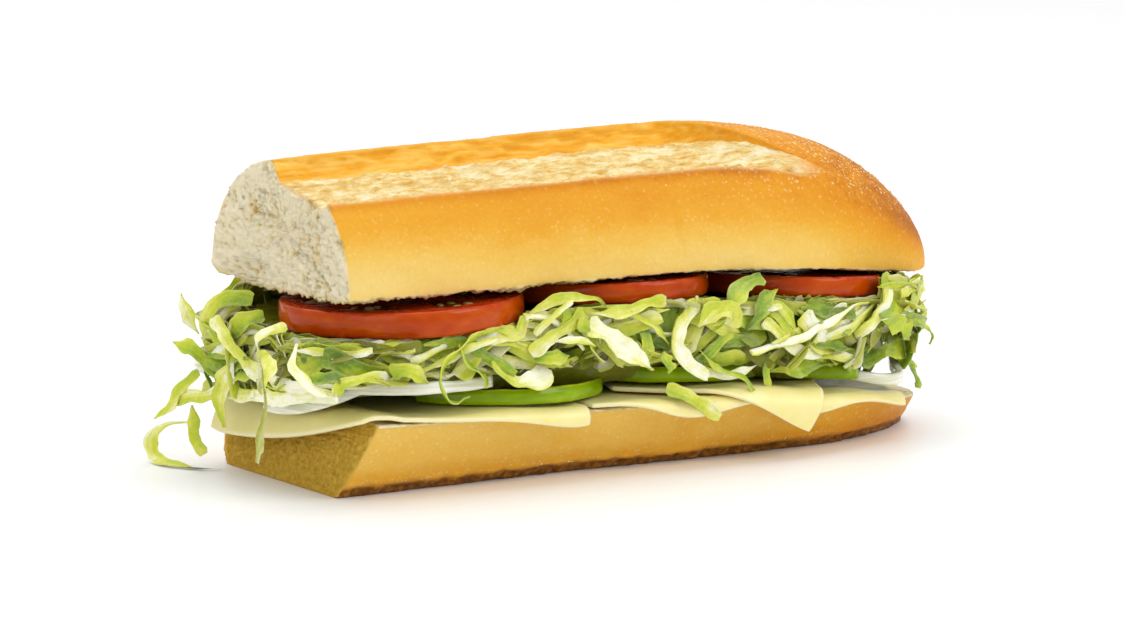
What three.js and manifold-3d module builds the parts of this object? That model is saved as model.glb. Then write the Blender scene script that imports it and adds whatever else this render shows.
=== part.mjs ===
// Submarine sandwich: half of a split and slashed roll, cut across at one end,
// filled with sliced cheese, pepper, onion, shredded lettuce and tomato.
// Millimetres. +X runs along the roll from the cut end to the rounded end,
// -Y is the front side and +Z is up. The origin is the middle of the flat base.

import * as THREE from 'three';
import { mergeVertices } from 'three/addons/utils/BufferGeometryUtils.js';
import Module from 'manifold-3d';

const wasm = await Module();
wasm.setup();

// Driving dimensions of the roll
const CUT_X = -100;
const LID_END_X = 108.5;
const HEEL_END_X = 102.5;
const LID_CENTRE_Y = 2.2;
const LID_HALF_WIDTH = 38.8;
const LID_EDGE_Z = 53.7;
const LID_CROWN_Z = 90.3;
const LID_DROOP = 9;
const LID_CREST_BEND_X = 22;
const LID_SIDE_BEND_X = 18;
const LID_SIDE_ROUNDNESS = 2.3;
const LID_TAPER_TO_CUT = 2.9;
const UNDERSIDE_SAG = 1.9;
const HEEL_TOP_Z = 20.5;
const HEEL_RIM_Y = 42.5;
const HEEL_BASE_Y = 30.5;
const HEEL_SIDE_BEND_X = 35;
const HEEL_BASE_BEND_X = 50;
const HEEL_TOP_FALL = 2.2;
const HEEL_END_FALL = 7;
const BASE_BAND_HEIGHT = 3.2;
const BASE_BAND_FLARE = 0.18;
const CUT_LEAN = 0.33;
const HEEL_OVERHANG = 1.5;

// The slash along the top of the roll
const SLASH_FRONT_Y = -24.7;
const SLASH_BACK_Y = 5.7;
const SLASH_TIP_X = 64;
const SLASH_DEPTH = 6.4;
const SLASH_WALL_WIDTH = 5;
const SLASH_LIP_DEPTH = 2.7;
const SLASH_LUMPS = 0.4;
const SLASH_TIP_FRONT_Y = -22.5;
const SLASH_TIP_WIDTH = 2.4;

// Fillings
const GAP = 0.3;
const CHEESE_THICKNESS = 1.3;
const TOMATO_BULGE = 0.6;
const TOMATO_EDGE_ROUND = 1.3;
const TOMATO_LOBES = 5;
const TOMATO_LOBE_DEPTH = 0.008;
const PEPPER_WALL = 4.2;
const PEPPER_HEIGHT = 4.4;
const ONION_WALL = 2.6;
const ONION_HEIGHT = 3.2;
const SHRED_THICKNESS = 1.2;

// How the cheese folds over the sides and over the cut end
const SIDE_FOLD_RADIUS = 3;
const SIDE_FOLD_DEGREES = 95;
const END_FOLD_RADIUS = 7;
const END_FOLD_DEGREES = 62;

const clamp = THREE.MathUtils.clamp;
const smooth = THREE.MathUtils.smoothstep;
const lerp = THREE.MathUtils.lerp;
const radians = THREE.MathUtils.degToRad;

// Small seeded generator, so that every run gives the same shreds
function seededRandom(seed) {
  let state = seed;
  return (low, high) => {
    state = (Math.imul(state, 1664525) + 1013904223) >>> 0;
    return low + (high - low) * (state / 4294967296);
  };
}

// One minus a power curve: 1 before start, falling in a round arc to 0 at end
function roundOff(x, start, end, power) {
  const share = clamp((x - start) / (end - start), 0, 1);
  return Math.pow(1 - Math.pow(share, power), 1 / power);
}

// Closed geometry helpers

function geometryFrom(points, triangles) {
  const geometry = new THREE.BufferGeometry();
  geometry.setAttribute('position', new THREE.Float32BufferAttribute(points.flat(), 3));
  geometry.setIndex(triangles.flat());
  return facingOut(geometry);
}

function signedVolume(geometry) {
  const at = geometry.getAttribute('position');
  const index = geometry.getIndex().array;
  const [a, b, c] = [new THREE.Vector3(), new THREE.Vector3(), new THREE.Vector3()];
  let sum = 0;
  for (let i = 0; i < index.length; i += 3) {
    a.fromBufferAttribute(at, index[i]);
    b.fromBufferAttribute(at, index[i + 1]);
    c.fromBufferAttribute(at, index[i + 2]);
    sum += a.dot(b.cross(c));
  }
  return sum / 6;
}

function facingOut(geometry) {
  if (signedVolume(geometry) < 0) {
    const index = geometry.getIndex().array;
    for (let i = 0; i < index.length; i += 3) {
      [index[i + 1], index[i + 2]] = [index[i + 2], index[i + 1]];
    }
  }
  return geometry;
}

// Joins a row of closed rings and closes both ends with fans
function solidFromRings(rings) {
  const count = rings[0].length;
  const points = rings.flat();
  const triangles = [];
  for (let r = 0; r + 1 < rings.length; r += 1) {
    for (let i = 0; i < count; i += 1) {
      const next = (i + 1) % count;
      const [a, b] = [r * count + i, r * count + next];
      const [c, d] = [a + count, b + count];
      triangles.push([a, b, c], [b, d, c]);
    }
  }
  for (const [ring, first, flip] of [[rings[0], 0, true], [rings.at(-1), (rings.length - 1) * count, false]]) {
    const middle = [0, 1, 2].map((k) => ring.reduce((sum, p) => sum + p[k], 0) / count);
    const hub = points.push(middle) - 1;
    for (let i = 0; i < count; i += 1) {
      const pair = [first + i, first + (i + 1) % count];
      triangles.push(flip ? [pair[1], pair[0], hub] : [pair[0], pair[1], hub]);
    }
  }
  return geometryFrom(points, triangles);
}

// A thin closed sheet on both sides of a surface given as a function of u and v
function sheetSolid(surfaceAt, across, along, thickness) {
  const points = [];
  const step = 0.01;
  for (const side of [-0.5, 0.5]) {
    for (let j = 0; j <= along; j += 1) {
      for (let i = 0; i <= across; i += 1) {
        const [u, v] = [i / across, j / along];
        const middle = surfaceAt(u, v);
        const alongU = surfaceAt(u + step, v).sub(surfaceAt(u - step, v));
        const alongV = surfaceAt(u, v + step).sub(surfaceAt(u, v - step));
        const normal = alongU.cross(alongV).normalize();
        points.push(middle.addScaledVector(normal, side * thickness).toArray());
      }
    }
  }
  const row = across + 1;
  const layer = row * (along + 1);
  const triangles = [];
  for (let j = 0; j < along; j += 1) {
    for (let i = 0; i < across; i += 1) {
      const a = j * row + i;
      triangles.push([a, a + row, a + 1], [a + 1, a + row, a + row + 1]);
      const b = a + layer;
      triangles.push([b, b + 1, b + row], [b + 1, b + row + 1, b + row]);
    }
  }
  const rim = [];
  for (let i = 0; i < across; i += 1) rim.push(i);
  for (let j = 0; j < along; j += 1) rim.push(j * row + across);
  for (let i = across; i > 0; i -= 1) rim.push(along * row + i);
  for (let j = along; j > 0; j -= 1) rim.push(j * row);
  rim.forEach((a, k) => {
    const b = rim[(k + 1) % rim.length];
    triangles.push([a, b, a + layer], [b, b + layer, a + layer]);
  });
  return geometryFrom(points, triangles);
}

// Joins and cuts

function manifoldFrom(geometry) {
  const bare = geometry.clone();
  bare.deleteAttribute('normal');
  bare.deleteAttribute('uv');
  const merged = mergeVertices(bare, 1e-4);
  return new wasm.Manifold(new wasm.Mesh({
    numProp: 3,
    vertProperties: new Float32Array(merged.getAttribute('position').array),
    triVerts: new Uint32Array(merged.getIndex().array),
  }));
}

function geometryFromManifold(solid) {
  const mesh = solid.getMesh();
  const geometry = new THREE.BufferGeometry();
  geometry.setAttribute('position', new THREE.BufferAttribute(Float32Array.from(mesh.vertProperties), 3));
  geometry.setIndex(new THREE.BufferAttribute(Uint32Array.from(mesh.triVerts), 1));
  return geometry;
}

// Keeps the largest connected body: loose scraps and sealed hollows go
function largestBody(geometry) {
  const merged = mergeVertices(geometry, 1e-4);
  const index = merged.getIndex().array;
  const parent = Array.from({ length: merged.getAttribute('position').count }, (_, i) => i);
  const root = (i) => {
    let top = i;
    while (parent[top] !== top) top = parent[top];
    parent[i] = top;
    return top;
  };
  for (let i = 0; i < index.length; i += 3) {
    parent[root(index[i + 1])] = root(index[i]);
    parent[root(index[i + 2])] = root(index[i]);
  }
  const bodies = new Map();
  for (let i = 0; i < index.length; i += 3) {
    const key = root(index[i]);
    if (!bodies.has(key)) bodies.set(key, []);
    bodies.get(key).push(index[i], index[i + 1], index[i + 2]);
  }
  const pieces = [...bodies.values()].map((list) => {
    const piece = merged.clone();
    piece.setIndex(list);
    return piece;
  });
  pieces.sort((a, b) => signedVolume(b) - signedVolume(a));
  return pieces[0].toNonIndexed();
}

// Shape of the roll

function lidDroop(x) {
  const run = Math.max(0, x / 100);
  const lift = Math.max(0, (x - 92) / 16);
  return LID_DROOP * Math.pow(run, 1.8) - 3 * lift * lift;
}

function lidEdgeZ(x) {
  return LID_EDGE_Z - lidDroop(x);
}

function lidCrownZ(x) {
  const taper = LID_TAPER_TO_CUT * smooth(-x, -25, 120);
  const roundEnd = roundOff(x, LID_CREST_BEND_X, LID_END_X, 2);
  return lerp(lidEdgeZ(x), LID_CROWN_Z - taper, roundEnd);
}

function lidHalfWidth(x) {
  return LID_HALF_WIDTH * roundOff(x, LID_SIDE_BEND_X, LID_END_X, LID_SIDE_ROUNDNESS);
}

function lidUndersideZ(x, share) {
  const sag = UNDERSIDE_SAG * roundOff(x, 30, LID_END_X, 2);
  const waves = 0.35 * Math.sin(x * 0.21 + share * 2.4) + 0.25 * Math.sin(x * 0.09 - share * 5);
  return lidEdgeZ(x) - (sag + waves) * (1 - share * share);
}

function slashFrontY(x) {
  return lerp(SLASH_FRONT_Y, SLASH_TIP_FRONT_Y, smooth(x, 50, SLASH_TIP_X));
}

function slashBackY(x) {
  const narrow = smooth(x, 18, SLASH_TIP_X);
  return lerp(SLASH_BACK_Y, slashFrontY(x) + SLASH_TIP_WIDTH, narrow);
}

function domeZ(x, y) {
  const share = clamp((y - LID_CENTRE_Y) / lidHalfWidth(x), -1, 1);
  return lidEdgeZ(x) + (lidCrownZ(x) - lidEdgeZ(x)) * Math.sqrt(1 - share * share);
}

// Height of the floury floor of the slash, from its front lip (0) to its back wall (1)
function slashFloorZ(x, share) {
  const front = domeZ(x, slashFrontY(x)) - SLASH_LIP_DEPTH * (1 - smooth(x, 10, 44));
  const backDepth = SLASH_DEPTH * (1 - smooth(x, 26, 58));
  const back = domeZ(x, slashBackY(x)) - backDepth;
  const lumps = SLASH_LUMPS * Math.sin(x * 0.33 + share * 4) * Math.sin(share * Math.PI);
  return lerp(front, back, Math.pow(share, 0.8)) + lumps * (1 - smooth(x, 40, SLASH_TIP_X));
}

// Angles on the dome, from the front edge (0) to the back edge (PI)
const EDGE_ANGLE = 0.03;
const TIP_FRONT_ANGLE = 0.28 * Math.PI;
const TIP_BACK_ANGLE = 0.34 * Math.PI;
const LID_STEPS = { flank: 7, floor: 5, back: 13, under: 8 };

// One section of the upper half, from the front lower edge over the top and back below
function lidRing(x, grow) {
  const half = lidHalfWidth(x);
  const edge = lidEdgeZ(x);
  const frontShare = (slashFrontY(x) - LID_CENTRE_Y) / half;
  const backShare = (slashBackY(x) - LID_CENTRE_Y) / half;
  const arc = (share) => Math.acos(-clamp(share, -1, 1));
  const inRange = x < SLASH_TIP_X;
  const frontArc = inRange ? arc(frontShare) : TIP_FRONT_ANGLE;
  const backArc = inRange ? arc(backShare) : TIP_BACK_ANGLE;
  const ring = [];
  const dome = (angle) => {
    const y = LID_CENTRE_Y - half * Math.cos(angle);
    ring.push([y, edge + (lidCrownZ(x) - edge) * Math.sin(angle)]);
  };
  const steps = LID_STEPS;
  for (let i = 0; i < steps.flank; i += 1) {
    dome(lerp(EDGE_ANGLE, frontArc, i / steps.flank));
  }
  const wall = inRange ? SLASH_WALL_WIDTH * (1 - smooth(x, 20, 55)) : 0;
  for (let i = 0; i <= steps.floor; i += 1) {
    const share = i / steps.floor;
    if (inRange) {
      const y = lerp(slashFrontY(x), slashBackY(x) - wall, share);
      ring.push([y, slashFloorZ(x, share)]);
    } else {
      dome(lerp(frontArc, backArc, share));
    }
  }
  for (let i = 1; i <= steps.back; i += 1) {
    dome(lerp(backArc, Math.PI - EDGE_ANGLE, i / steps.back));
  }
  const underReach = 0.985;
  for (let i = 1; i < steps.under; i += 1) {
    const share = 1 - 2 * i / steps.under;
    ring.push([LID_CENTRE_Y + half * underReach * share, lidUndersideZ(x, share)]);
  }
  const middleZ = (lidCrownZ(x) + edge) / 2;
  return ring.map(([y, z]) => [x, y + grow * Math.sign(y - LID_CENTRE_Y), z + grow * Math.sign(z - middleZ)]);
}

function lidSolid(grow = 0, straight = 15, round = 15) {
  const bendX = 30;
  const rings = [];
  for (let i = 0; i < straight; i += 1) {
    rings.push(lidRing(lerp(CUT_X, bendX, i / straight), grow));
  }
  for (let i = 0; i <= round; i += 1) {
    const angle = lerp(0, 0.487 * Math.PI, i / round);
    rings.push(lidRing(lerp(bendX, LID_END_X, Math.sin(angle)), grow));
  }
  if (grow > 0) rings.unshift(rings[0].map(([x, y, z]) => [x - grow, y, z]));
  return solidFromRings(rings);
}

function heelTopZ(x) {
  const along = (x - CUT_X) / 100;
  return HEEL_TOP_Z - HEEL_TOP_FALL * along - HEEL_END_FALL * Math.pow(Math.max(0, x / 100), 1.5);
}

function heelRimY(x) {
  return HEEL_RIM_Y * roundOff(x, HEEL_SIDE_BEND_X, HEEL_END_X, 2.1);
}

function heelBaseY(x) {
  const wave = 1 + 0.03 * Math.sin(x * 0.045);
  return HEEL_BASE_Y * wave * roundOff(x, HEEL_BASE_BEND_X, HEEL_END_X, 1.75);
}

// One section of the lower half: flat base, brown band, flared flank and flat top
function heelRing(x, grow) {
  const top = heelTopZ(x) + grow;
  const rim = heelRimY(x) + grow;
  const base = heelBaseY(x) + grow;
  const band = lerp(base, rim, BASE_BAND_FLARE);
  const side = [[base, -grow], [base + 0.5 * (band - base), 0.4 * BASE_BAND_HEIGHT], [band, BASE_BAND_HEIGHT]];
  const steps = 5;
  const [rimRoundOut, rimRoundDown] = [0.8, 0.6];
  for (let i = 1; i <= steps; i += 1) {
    const share = i / steps;
    side.push([lerp(band, rim, Math.pow(share, 0.8)), lerp(BASE_BAND_HEIGHT, top - rimRoundDown, share)]);
  }
  side.push([rim - rimRoundOut, top]);
  const ring = side.map(([y, z]) => [-y, z]);
  for (const share of [-0.6, -0.2, 0.2, 0.6]) ring.push([rim * share, top]);
  for (const [y, z] of side.reverse()) ring.push([y, z]);
  for (const share of [0.5, 0, -0.5]) ring.push([base * share, -grow]);
  return ring.map(([y, z]) => [x, y, z]);
}

function heelSolid(grow = 0, straight = 11, round = 13) {
  const rings = [];
  for (let i = 0; i < straight; i += 1) {
    const share = i / straight;
    const lean = CUT_LEAN * Math.max(0, 1 - share * 6);
    const ring = heelRing(lerp(CUT_X - HEEL_OVERHANG - grow, HEEL_SIDE_BEND_X, share), grow);
    rings.push(ring.map(([x, y, z]) => [x + lean * z, y, z]));
  }
  for (let i = 0; i <= round; i += 1) {
    const angle = lerp(0, 0.485 * Math.PI, i / round);
    rings.push(heelRing(lerp(HEEL_SIDE_BEND_X, HEEL_END_X, Math.sin(angle)), grow));
  }
  return solidFromRings(rings);
}

// Cheese

// How far out and down a limp sheet reaches after it has run past an edge
function foldOver(run, radius, steepest) {
  const angle = clamp(run / radius, 0, steepest);
  const rest = Math.max(0, run - radius * steepest);
  return {
    out: radius * Math.sin(angle) + rest * Math.cos(steepest),
    down: radius * (1 - Math.cos(angle)) + rest * Math.sin(steepest),
  };
}

// Places a point of the flat slice on the lower half, draped over its edges
function drape(flatX, flatY, layer) {
  const cutEdge = CUT_X + CUT_LEAN * HEEL_TOP_Z - HEEL_OVERHANG;
  const along = clamp(flatX, cutEdge, HEEL_END_X);
  const rim = heelRimY(along);
  const overhang = Math.max(0, Math.abs(flatY) - rim);
  const over = foldOver(overhang, SIDE_FOLD_RADIUS + layer, radians(SIDE_FOLD_DEGREES));
  const y = Math.sign(flatY) * (Math.min(Math.abs(flatY), rim) + over.out);
  const past = foldOver(Math.max(0, cutEdge - flatX), END_FOLD_RADIUS, radians(END_FOLD_DEGREES));
  const wave = 0.35 * (1 + Math.sin(flatX * 0.16 + flatY * 0.05)) + 0.6 * smooth(-flatX, 86, 92);
  const z = heelTopZ(along) + GAP + CHEESE_THICKNESS / 2 + layer + wave - over.down - past.down;
  return new THREE.Vector3(along - past.out, y, z);
}

// Four named corners of each flat slice, front-left first, then round the slice
const CHEESE_SLICES = {
  cheese_slice_1: { corners: [[-99.5, -41], [-30, -50], [-30, 44], [-113, 33]], layer: 0, endSag: 3 },
  cheese_slice_2: { corners: [[-28.8, -43.5], [26, -46.5], [34, 45], [-27, 47]], layer: 0, frontSag: 3.6 },
  cheese_slice_3: { corners: [[-16, -32], [40.5, -58], [66, -2], [10, 24]], layer: 2.1 },
  cheese_slice_4: { corners: [[39, -50], [82, -37], [89, 20], [43, 46]], layer: 0 },
};

const CHEESE_CROWDING = { across: 0.06, along: 0.09 };
const CHEESE_STEPS = { across: 10, along: 12 };

function cheeseSolid({ corners, layer, frontSag = 0, endSag = 0 }, grow = 0) {
  const [a, b, c, d] = corners;
  const cornerRound = 0.03;
  // A grown slice also reaches further at its edges
  const stretch = (share) => (Math.abs(share) < 0.999 ? share : share * (1 + grow / 30));
  const surfaceAt = (u, v) => {
    // Crowded towards the edges, where the slice folds
    const edgeU = u - CHEESE_CROWDING.across * Math.sin(2 * Math.PI * u);
    const edgeV = v - CHEESE_CROWDING.along * Math.sin(2 * Math.PI * v);
    const squareU = stretch(2 * edgeU - 1);
    const squareV = stretch(2 * edgeV - 1);
    const shareU = 0.5 + 0.5 * squareU * (1 - cornerRound * Math.pow(squareV, 8));
    const shareV = 0.5 + 0.5 * squareV * (1 - cornerRound * Math.pow(squareU, 8));
    const front = [lerp(a[0], b[0], shareU), lerp(a[1], b[1], shareU)];
    const back = [lerp(d[0], c[0], shareU), lerp(d[1], c[1], shareU)];
    const endward = endSag * Math.sin(Math.PI * clamp(shareV, 0, 1)) * Math.pow(1 - shareU, 2);
    const flatX = lerp(front[0], back[0], shareV) - endward;
    const frontward = frontSag * Math.exp(-Math.pow((flatX - 1) / 14, 2)) * Math.pow(1 - shareV, 3);
    return drape(flatX, lerp(front[1], back[1], shareV) - frontward, layer);
  };
  return sheetSolid(surfaceAt, CHEESE_STEPS.across, CHEESE_STEPS.along, CHEESE_THICKNESS + 2 * grow);
}

// Tomato

const TOMATO_SLICES = {
  tomato_slice_1: { at: [-69.2, -9.6, 46.4], radius: 33.8, thickness: 6.8, tiltX: 0.3, tiltY: -1.4 },
  tomato_slice_2: { at: [-4, -9, 47.6], radius: 30.3, thickness: 5.4, tiltX: 3.2, tiltY: 0.4 },
  tomato_slice_3: { at: [57.4, -8, 43.9], radius: 28.5, thickness: 5.4, tiltX: 3, tiltY: 4 },
};

function tomatoSolid({ at, radius, thickness, tiltX, tiltY }, grow = 0, around = 26) {
  const half = thickness / 2 + grow;
  const outer = radius + grow;
  const profile = [
    [0, -half], [outer * 0.55, -half], [outer - TOMATO_EDGE_ROUND, -half], [outer - TOMATO_BULGE, -half * 0.8],
    [outer, 0],
    [outer - TOMATO_BULGE, half * 0.8], [outer - TOMATO_EDGE_ROUND, half], [outer * 0.55, half], [0, half],
  ].map(([r, z]) => new THREE.Vector2(r, z));
  const geometry = new THREE.LatheGeometry(profile, around);
  geometry.rotateX(Math.PI / 2);
  const position = geometry.getAttribute('position');
  for (let i = 0; i < position.count; i += 1) {
    const angle = Math.atan2(position.getY(i), position.getX(i));
    const lobes = 1 - TOMATO_LOBE_DEPTH * (1 + Math.cos(TOMATO_LOBES * angle + at[0]));
    position.setXY(i, position.getX(i) * lobes, position.getY(i) * lobes);
  }
  geometry.rotateX(radians(-tiltX));
  geometry.rotateY(radians(tiltY));
  geometry.translate(...at);
  geometry.deleteAttribute('normal');
  geometry.deleteAttribute('uv');
  return facingOut(mergeVertices(geometry, 1e-3));
}

// Pepper and onion

// A bar that follows a curve with its section upright; section is [out, up] pairs
function barAlong(curve, steps, section) {
  const rings = [];
  for (let i = 0; i <= steps; i += 1) {
    const share = i / steps;
    const at = curve.getPoint(share);
    const tangent = curve.getTangent(share);
    const out = new THREE.Vector3(tangent.y, -tangent.x, 0).normalize();
    const end = Math.min(1, 0.55 + 6 * Math.min(share, 1 - share));
    rings.push(section.map(([across, up]) => [
      at.x + out.x * across * end,
      at.y + out.y * across * end,
      at.z + up,
    ]));
  }
  return solidFromRings(rings);
}

// An arc of a sliced ring; angles are measured from the front (-Y), positive towards +X
class RingArc extends THREE.Curve {
  constructor({ centre, radius, from, to, liftAt }) {
    super();
    Object.assign(this, { centre, radius, from, to, liftAt });
  }

  getPoint(share, target = new THREE.Vector3()) {
    const angle = radians(lerp(this.from, this.to, share));
    const x = this.centre[0] + this.radius * Math.sin(angle);
    const y = this.centre[1] - this.radius * Math.cos(angle);
    return target.set(x, y, this.liftAt(x, y));
  }
}

const cheeseTopZ = (x) => heelTopZ(x) + GAP + CHEESE_THICKNESS + 0.7;
const onFirstSlice = (x) => cheeseTopZ(x) + GAP + 0.2;
const onCheese = (x) => cheeseTopZ(x) + GAP + 2.4 * smooth(x, -26, -17);

const PEPPER_STRIPS = {
  pepper_front_1: { centre: [-43, -8], radius: 33, from: -62, to: 50, liftAt: onFirstSlice },
  pepper_front_2: { centre: [12, -6], radius: 31, from: -57, to: 50, liftAt: onCheese },
  pepper_front_3: { centre: [60, -2], radius: 31, from: -38, to: 12, liftAt: onCheese },
  pepper_back_1: { centre: [-40, 6], radius: 33, from: 128, to: 232, liftAt: onCheese },
  pepper_back_2: { centre: [34, 4], radius: 32, from: 132, to: 222, liftAt: onCheese },
};

// The green skin side bulges outwards a little
function pepperSolid(strip, grow = 0) {
  const [wall, height] = [PEPPER_WALL / 2 + grow, PEPPER_HEIGHT];
  const section = [
    [-wall, -grow], [wall - 0.5, -grow], [wall, 0.3 * height], [wall - 0.2, 0.7 * height],
    [wall - 1.2, height + grow], [-wall, height - 0.6 + grow],
  ];
  return barAlong(new RingArc(strip), 15, section);
}

// Past the cut end an onion strip bends down
const onionDrop = (x) => 0.62 * Math.max(0, -94 - x);

const ONION_STRIPS = {
  onion_front_1: { centre: [-70, -4.5], radius: 36, from: -98, to: 20, liftAt: (x) => 27.4 - onionDrop(x) },
  onion_back_1: { centre: [-10, 6], radius: 34, from: 140, to: 215, liftAt: (x) => onCheese(x) + 5 },
};

const ONION_CURLS = {
  onion_front_2: [
    [50, -21.5, 22], [60, -26, 19.8], [70, -30.5, 16.6], [79, -31, 15], [86, -26, 15.2], [90, -16, 17.5],
  ],
  onion_front_3: [[-104, 12, 25], [-107, 22, 25.5], [-109, 34, 26.5]],
};

function onionSolid(curve, grow = 0) {
  const [wall, height] = [ONION_WALL / 2 + grow, ONION_HEIGHT + grow];
  const section = [[-wall, -grow], [wall, -grow], [wall - 0.3, height], [-wall, height]];
  return barAlong(curve, 14, section);
}

const onionCurve = (points) => new THREE.CatmullRomCurve3(points.map((p) => new THREE.Vector3(...p)));

// Lettuce

const HEAP_MIDDLE_X = -4.5;
const HEAP_FIRST_X = -108;
const HEAP_LAST_X = 99;
const HEAP_STATIONS = 19;

// Share of the heap's full width at x, rounded off at both ends
function heapSpread(x) {
  return 0.3 + 0.7 * roundOff(Math.abs(x - HEAP_MIDDLE_X), 72, 104, 2.4);
}

// One section of the heap: it bulges over the front, is pressed flat under the
// tomato and stands up behind it
function heapRing(x) {
  const spread = heapSpread(x);
  const bottom = cheeseTopZ(Math.max(x, -94)) + GAP + 2.2 * smooth(x, -24, -12);
  const top = 41.6 - 3.4 * smooth(x, 15, 80) + 4.5 * smooth(x, 80, 90) + 3 * smooth(-x, 101, 105);
  const backTop = Math.min(48, lidEdgeZ(Math.min(x, 96)) - 3) - 4 * smooth(-x, 70, 100);
  const outline = [
    [-31, bottom], [-37.5, bottom + 4.5], [-40.5, lerp(bottom, top, 0.45)], [-40, lerp(bottom, top, 0.8)],
    [-35, top], [0, top], [23.5, top], [28, backTop - 1], [36, backTop], [40.5, lerp(bottom, top, 0.8)],
    [40, lerp(bottom, top, 0.4)], [33, bottom], [0, bottom],
  ];
  return outline.map(([y, z], k) => {
    const lump = 1 + 0.05 * Math.sin(x * 0.21 + 2.1 * k) + 0.035 * Math.sin(x * 0.47 - 1.3 * k);
    const height = lerp((bottom + top) / 2, z, 0.5 + 0.5 * Math.min(1, 1.1 * spread));
    return [x, y * spread * lump, height];
  });
}

function lettuceCoreSolid() {
  const rings = [];
  for (let i = 0; i <= HEAP_STATIONS; i += 1) {
    const share = lerp(0.03, 0.97, i / HEAP_STATIONS);
    rings.push(heapRing(lerp(HEAP_FIRST_X, HEAP_LAST_X, 0.5 - 0.5 * Math.cos(Math.PI * share))));
  }
  return solidFromRings(rings);
}

// No shred strays further than this from the heap
const HEAP_REACH = new THREE.Box3(
  new THREE.Vector3(-124, -46, 3.5),
  new THREE.Vector3(106, 46, 49),
);

const SHRED_STRIDE = 6;
const STEEPEST_DEGREES = 86;

// A curled strip of leaf that starts at a point and turns as it goes.
// Heading and pitch are in degrees, bend and fall are degrees turned per millimetre.
function shredSolid({ start, heading, pitch, bend, fall, length, width, roll }) {
  const steps = Math.max(5, Math.round(length / SHRED_STRIDE));
  const stride = length / steps;
  const at = new THREE.Vector3(...start);
  let [turn, rise] = [heading, pitch];
  const rings = [];
  for (let i = 0; i <= steps; i += 1) {
    const forward = new THREE.Vector3(
      Math.cos(radians(rise)) * Math.cos(radians(turn)),
      Math.cos(radians(rise)) * Math.sin(radians(turn)),
      Math.sin(radians(rise)),
    );
    const level = new THREE.Vector3(-Math.sin(radians(turn)), Math.cos(radians(turn)), 0);
    const across = level.clone().applyAxisAngle(forward, radians(roll));
    const through = forward.clone().cross(across);
    const taper = 0.55 + 0.45 * Math.sin(Math.PI * lerp(0.12, 0.88, i / steps));
    rings.push([[-1, -1], [1, -1], [1, 1], [-1, 1]].map(([side, face]) => at.clone()
      .addScaledVector(across, side * 0.5 * width * taper)
      .addScaledVector(through, face * 0.5 * SHRED_THICKNESS)
      .toArray()));
    at.addScaledVector(forward, stride);
    at.clamp(HEAP_REACH.min, HEAP_REACH.max);
    turn += bend * stride;
    rise = clamp(rise + fall * stride, -STEEPEST_DEGREES, STEEPEST_DEGREES);
  }
  return solidFromRings(rings);
}

// The shreds that stand out of the heap, each placed by hand
const PLACED_SHREDS = [
  // Curl in front of the onion
  { start: [-44, -30, 41], heading: 200, pitch: -20, bend: 1.0, fall: -2.2, length: 42, width: 5, roll: 80 },
  // Pale ribs leaning over the middle
  { start: [-8, -32, 42], heading: -60, pitch: -20, bend: 1.2, fall: -0.6, length: 24, width: 6, roll: 60 },
  { start: [20, -30, 44], heading: 250, pitch: -35, bend: 1.5, fall: -0.4, length: 28, width: 6, roll: 40 },
  { start: [1, -36, 22], heading: -38, pitch: -22, bend: 0, fall: -0.3, length: 25, width: 6.5, roll: 50 },
  // Leaf between the middle and right tomato slices
  { start: [14, -32, 41], heading: 10, pitch: 22, bend: 0, fall: 0, length: 22, width: 9, roll: 60 },
  // Loops and strips that hang over the cut end
  { start: [-100, 14, 34], heading: 215, pitch: 10, bend: -1.2, fall: -4, length: 42, width: 6, roll: 20 },
  { start: [-98, 30, 34], heading: 175, pitch: 0, bend: 0.6, fall: -3, length: 44, width: 5.5, roll: 15 },
  { start: [-98, -8, 34], heading: 190, pitch: 0, bend: 0.4, fall: -3.2, length: 36, width: 6, roll: 10 },
  { start: [-100, 24, 40], heading: 170, pitch: 40, bend: 1.4, fall: -4.2, length: 30, width: 6, roll: 0 },
  // Curls at the rounded end
  { start: [84, -9, 32], heading: -10, pitch: 18, bend: 1.6, fall: -2.6, length: 32, width: 5, roll: 10 },
  { start: [82, -14, 34], heading: -20, pitch: 35, bend: 2, fall: -3.2, length: 34, width: 4.5, roll: 25 },
  { start: [88, -6, 28], heading: 5, pitch: 0, bend: 0.6, fall: -2.4, length: 30, width: 5, roll: 0 },
];

// Rows of shreds that leave the heap in a given direction, drawn from one seeded sequence
const SHRED_ROWS = [
  { count: 11, x: [-96, 84], y: [-34, -30], z: [27, 40], heading: [-150, -30], pitch: [-25, 25] },
  { count: 8, x: [-96, 84], y: [30, 35], z: [24, 40], heading: [30, 150], pitch: [-35, 25] },
  { count: 5, x: [-102, -98], y: [-26, 34], z: [25, 38], heading: [150, 215], pitch: [-20, 30] },
  { count: 4, x: [82, 90], y: [-18, 22], z: [20, 34], heading: [-35, 40], pitch: [-20, 20] },
];

const SHRED_SEED = 411;

function rowShreds() {
  const draw = seededRandom(SHRED_SEED);
  const shreds = [];
  for (const row of SHRED_ROWS) {
    for (let i = 0; i < row.count; i += 1) {
      shreds.push({
        start: [lerp(...row.x, (i + 0.5) / row.count) + draw(-4, 4), draw(...row.y), draw(...row.z)],
        heading: draw(...row.heading),
        pitch: draw(...row.pitch),
        bend: draw(-3, 3),
        fall: draw(-4, -1),
        length: draw(18, 32),
        width: draw(4.5, 7.5),
        roll: draw(-80, 80),
      });
    }
  }
  return shreds;
}

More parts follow.
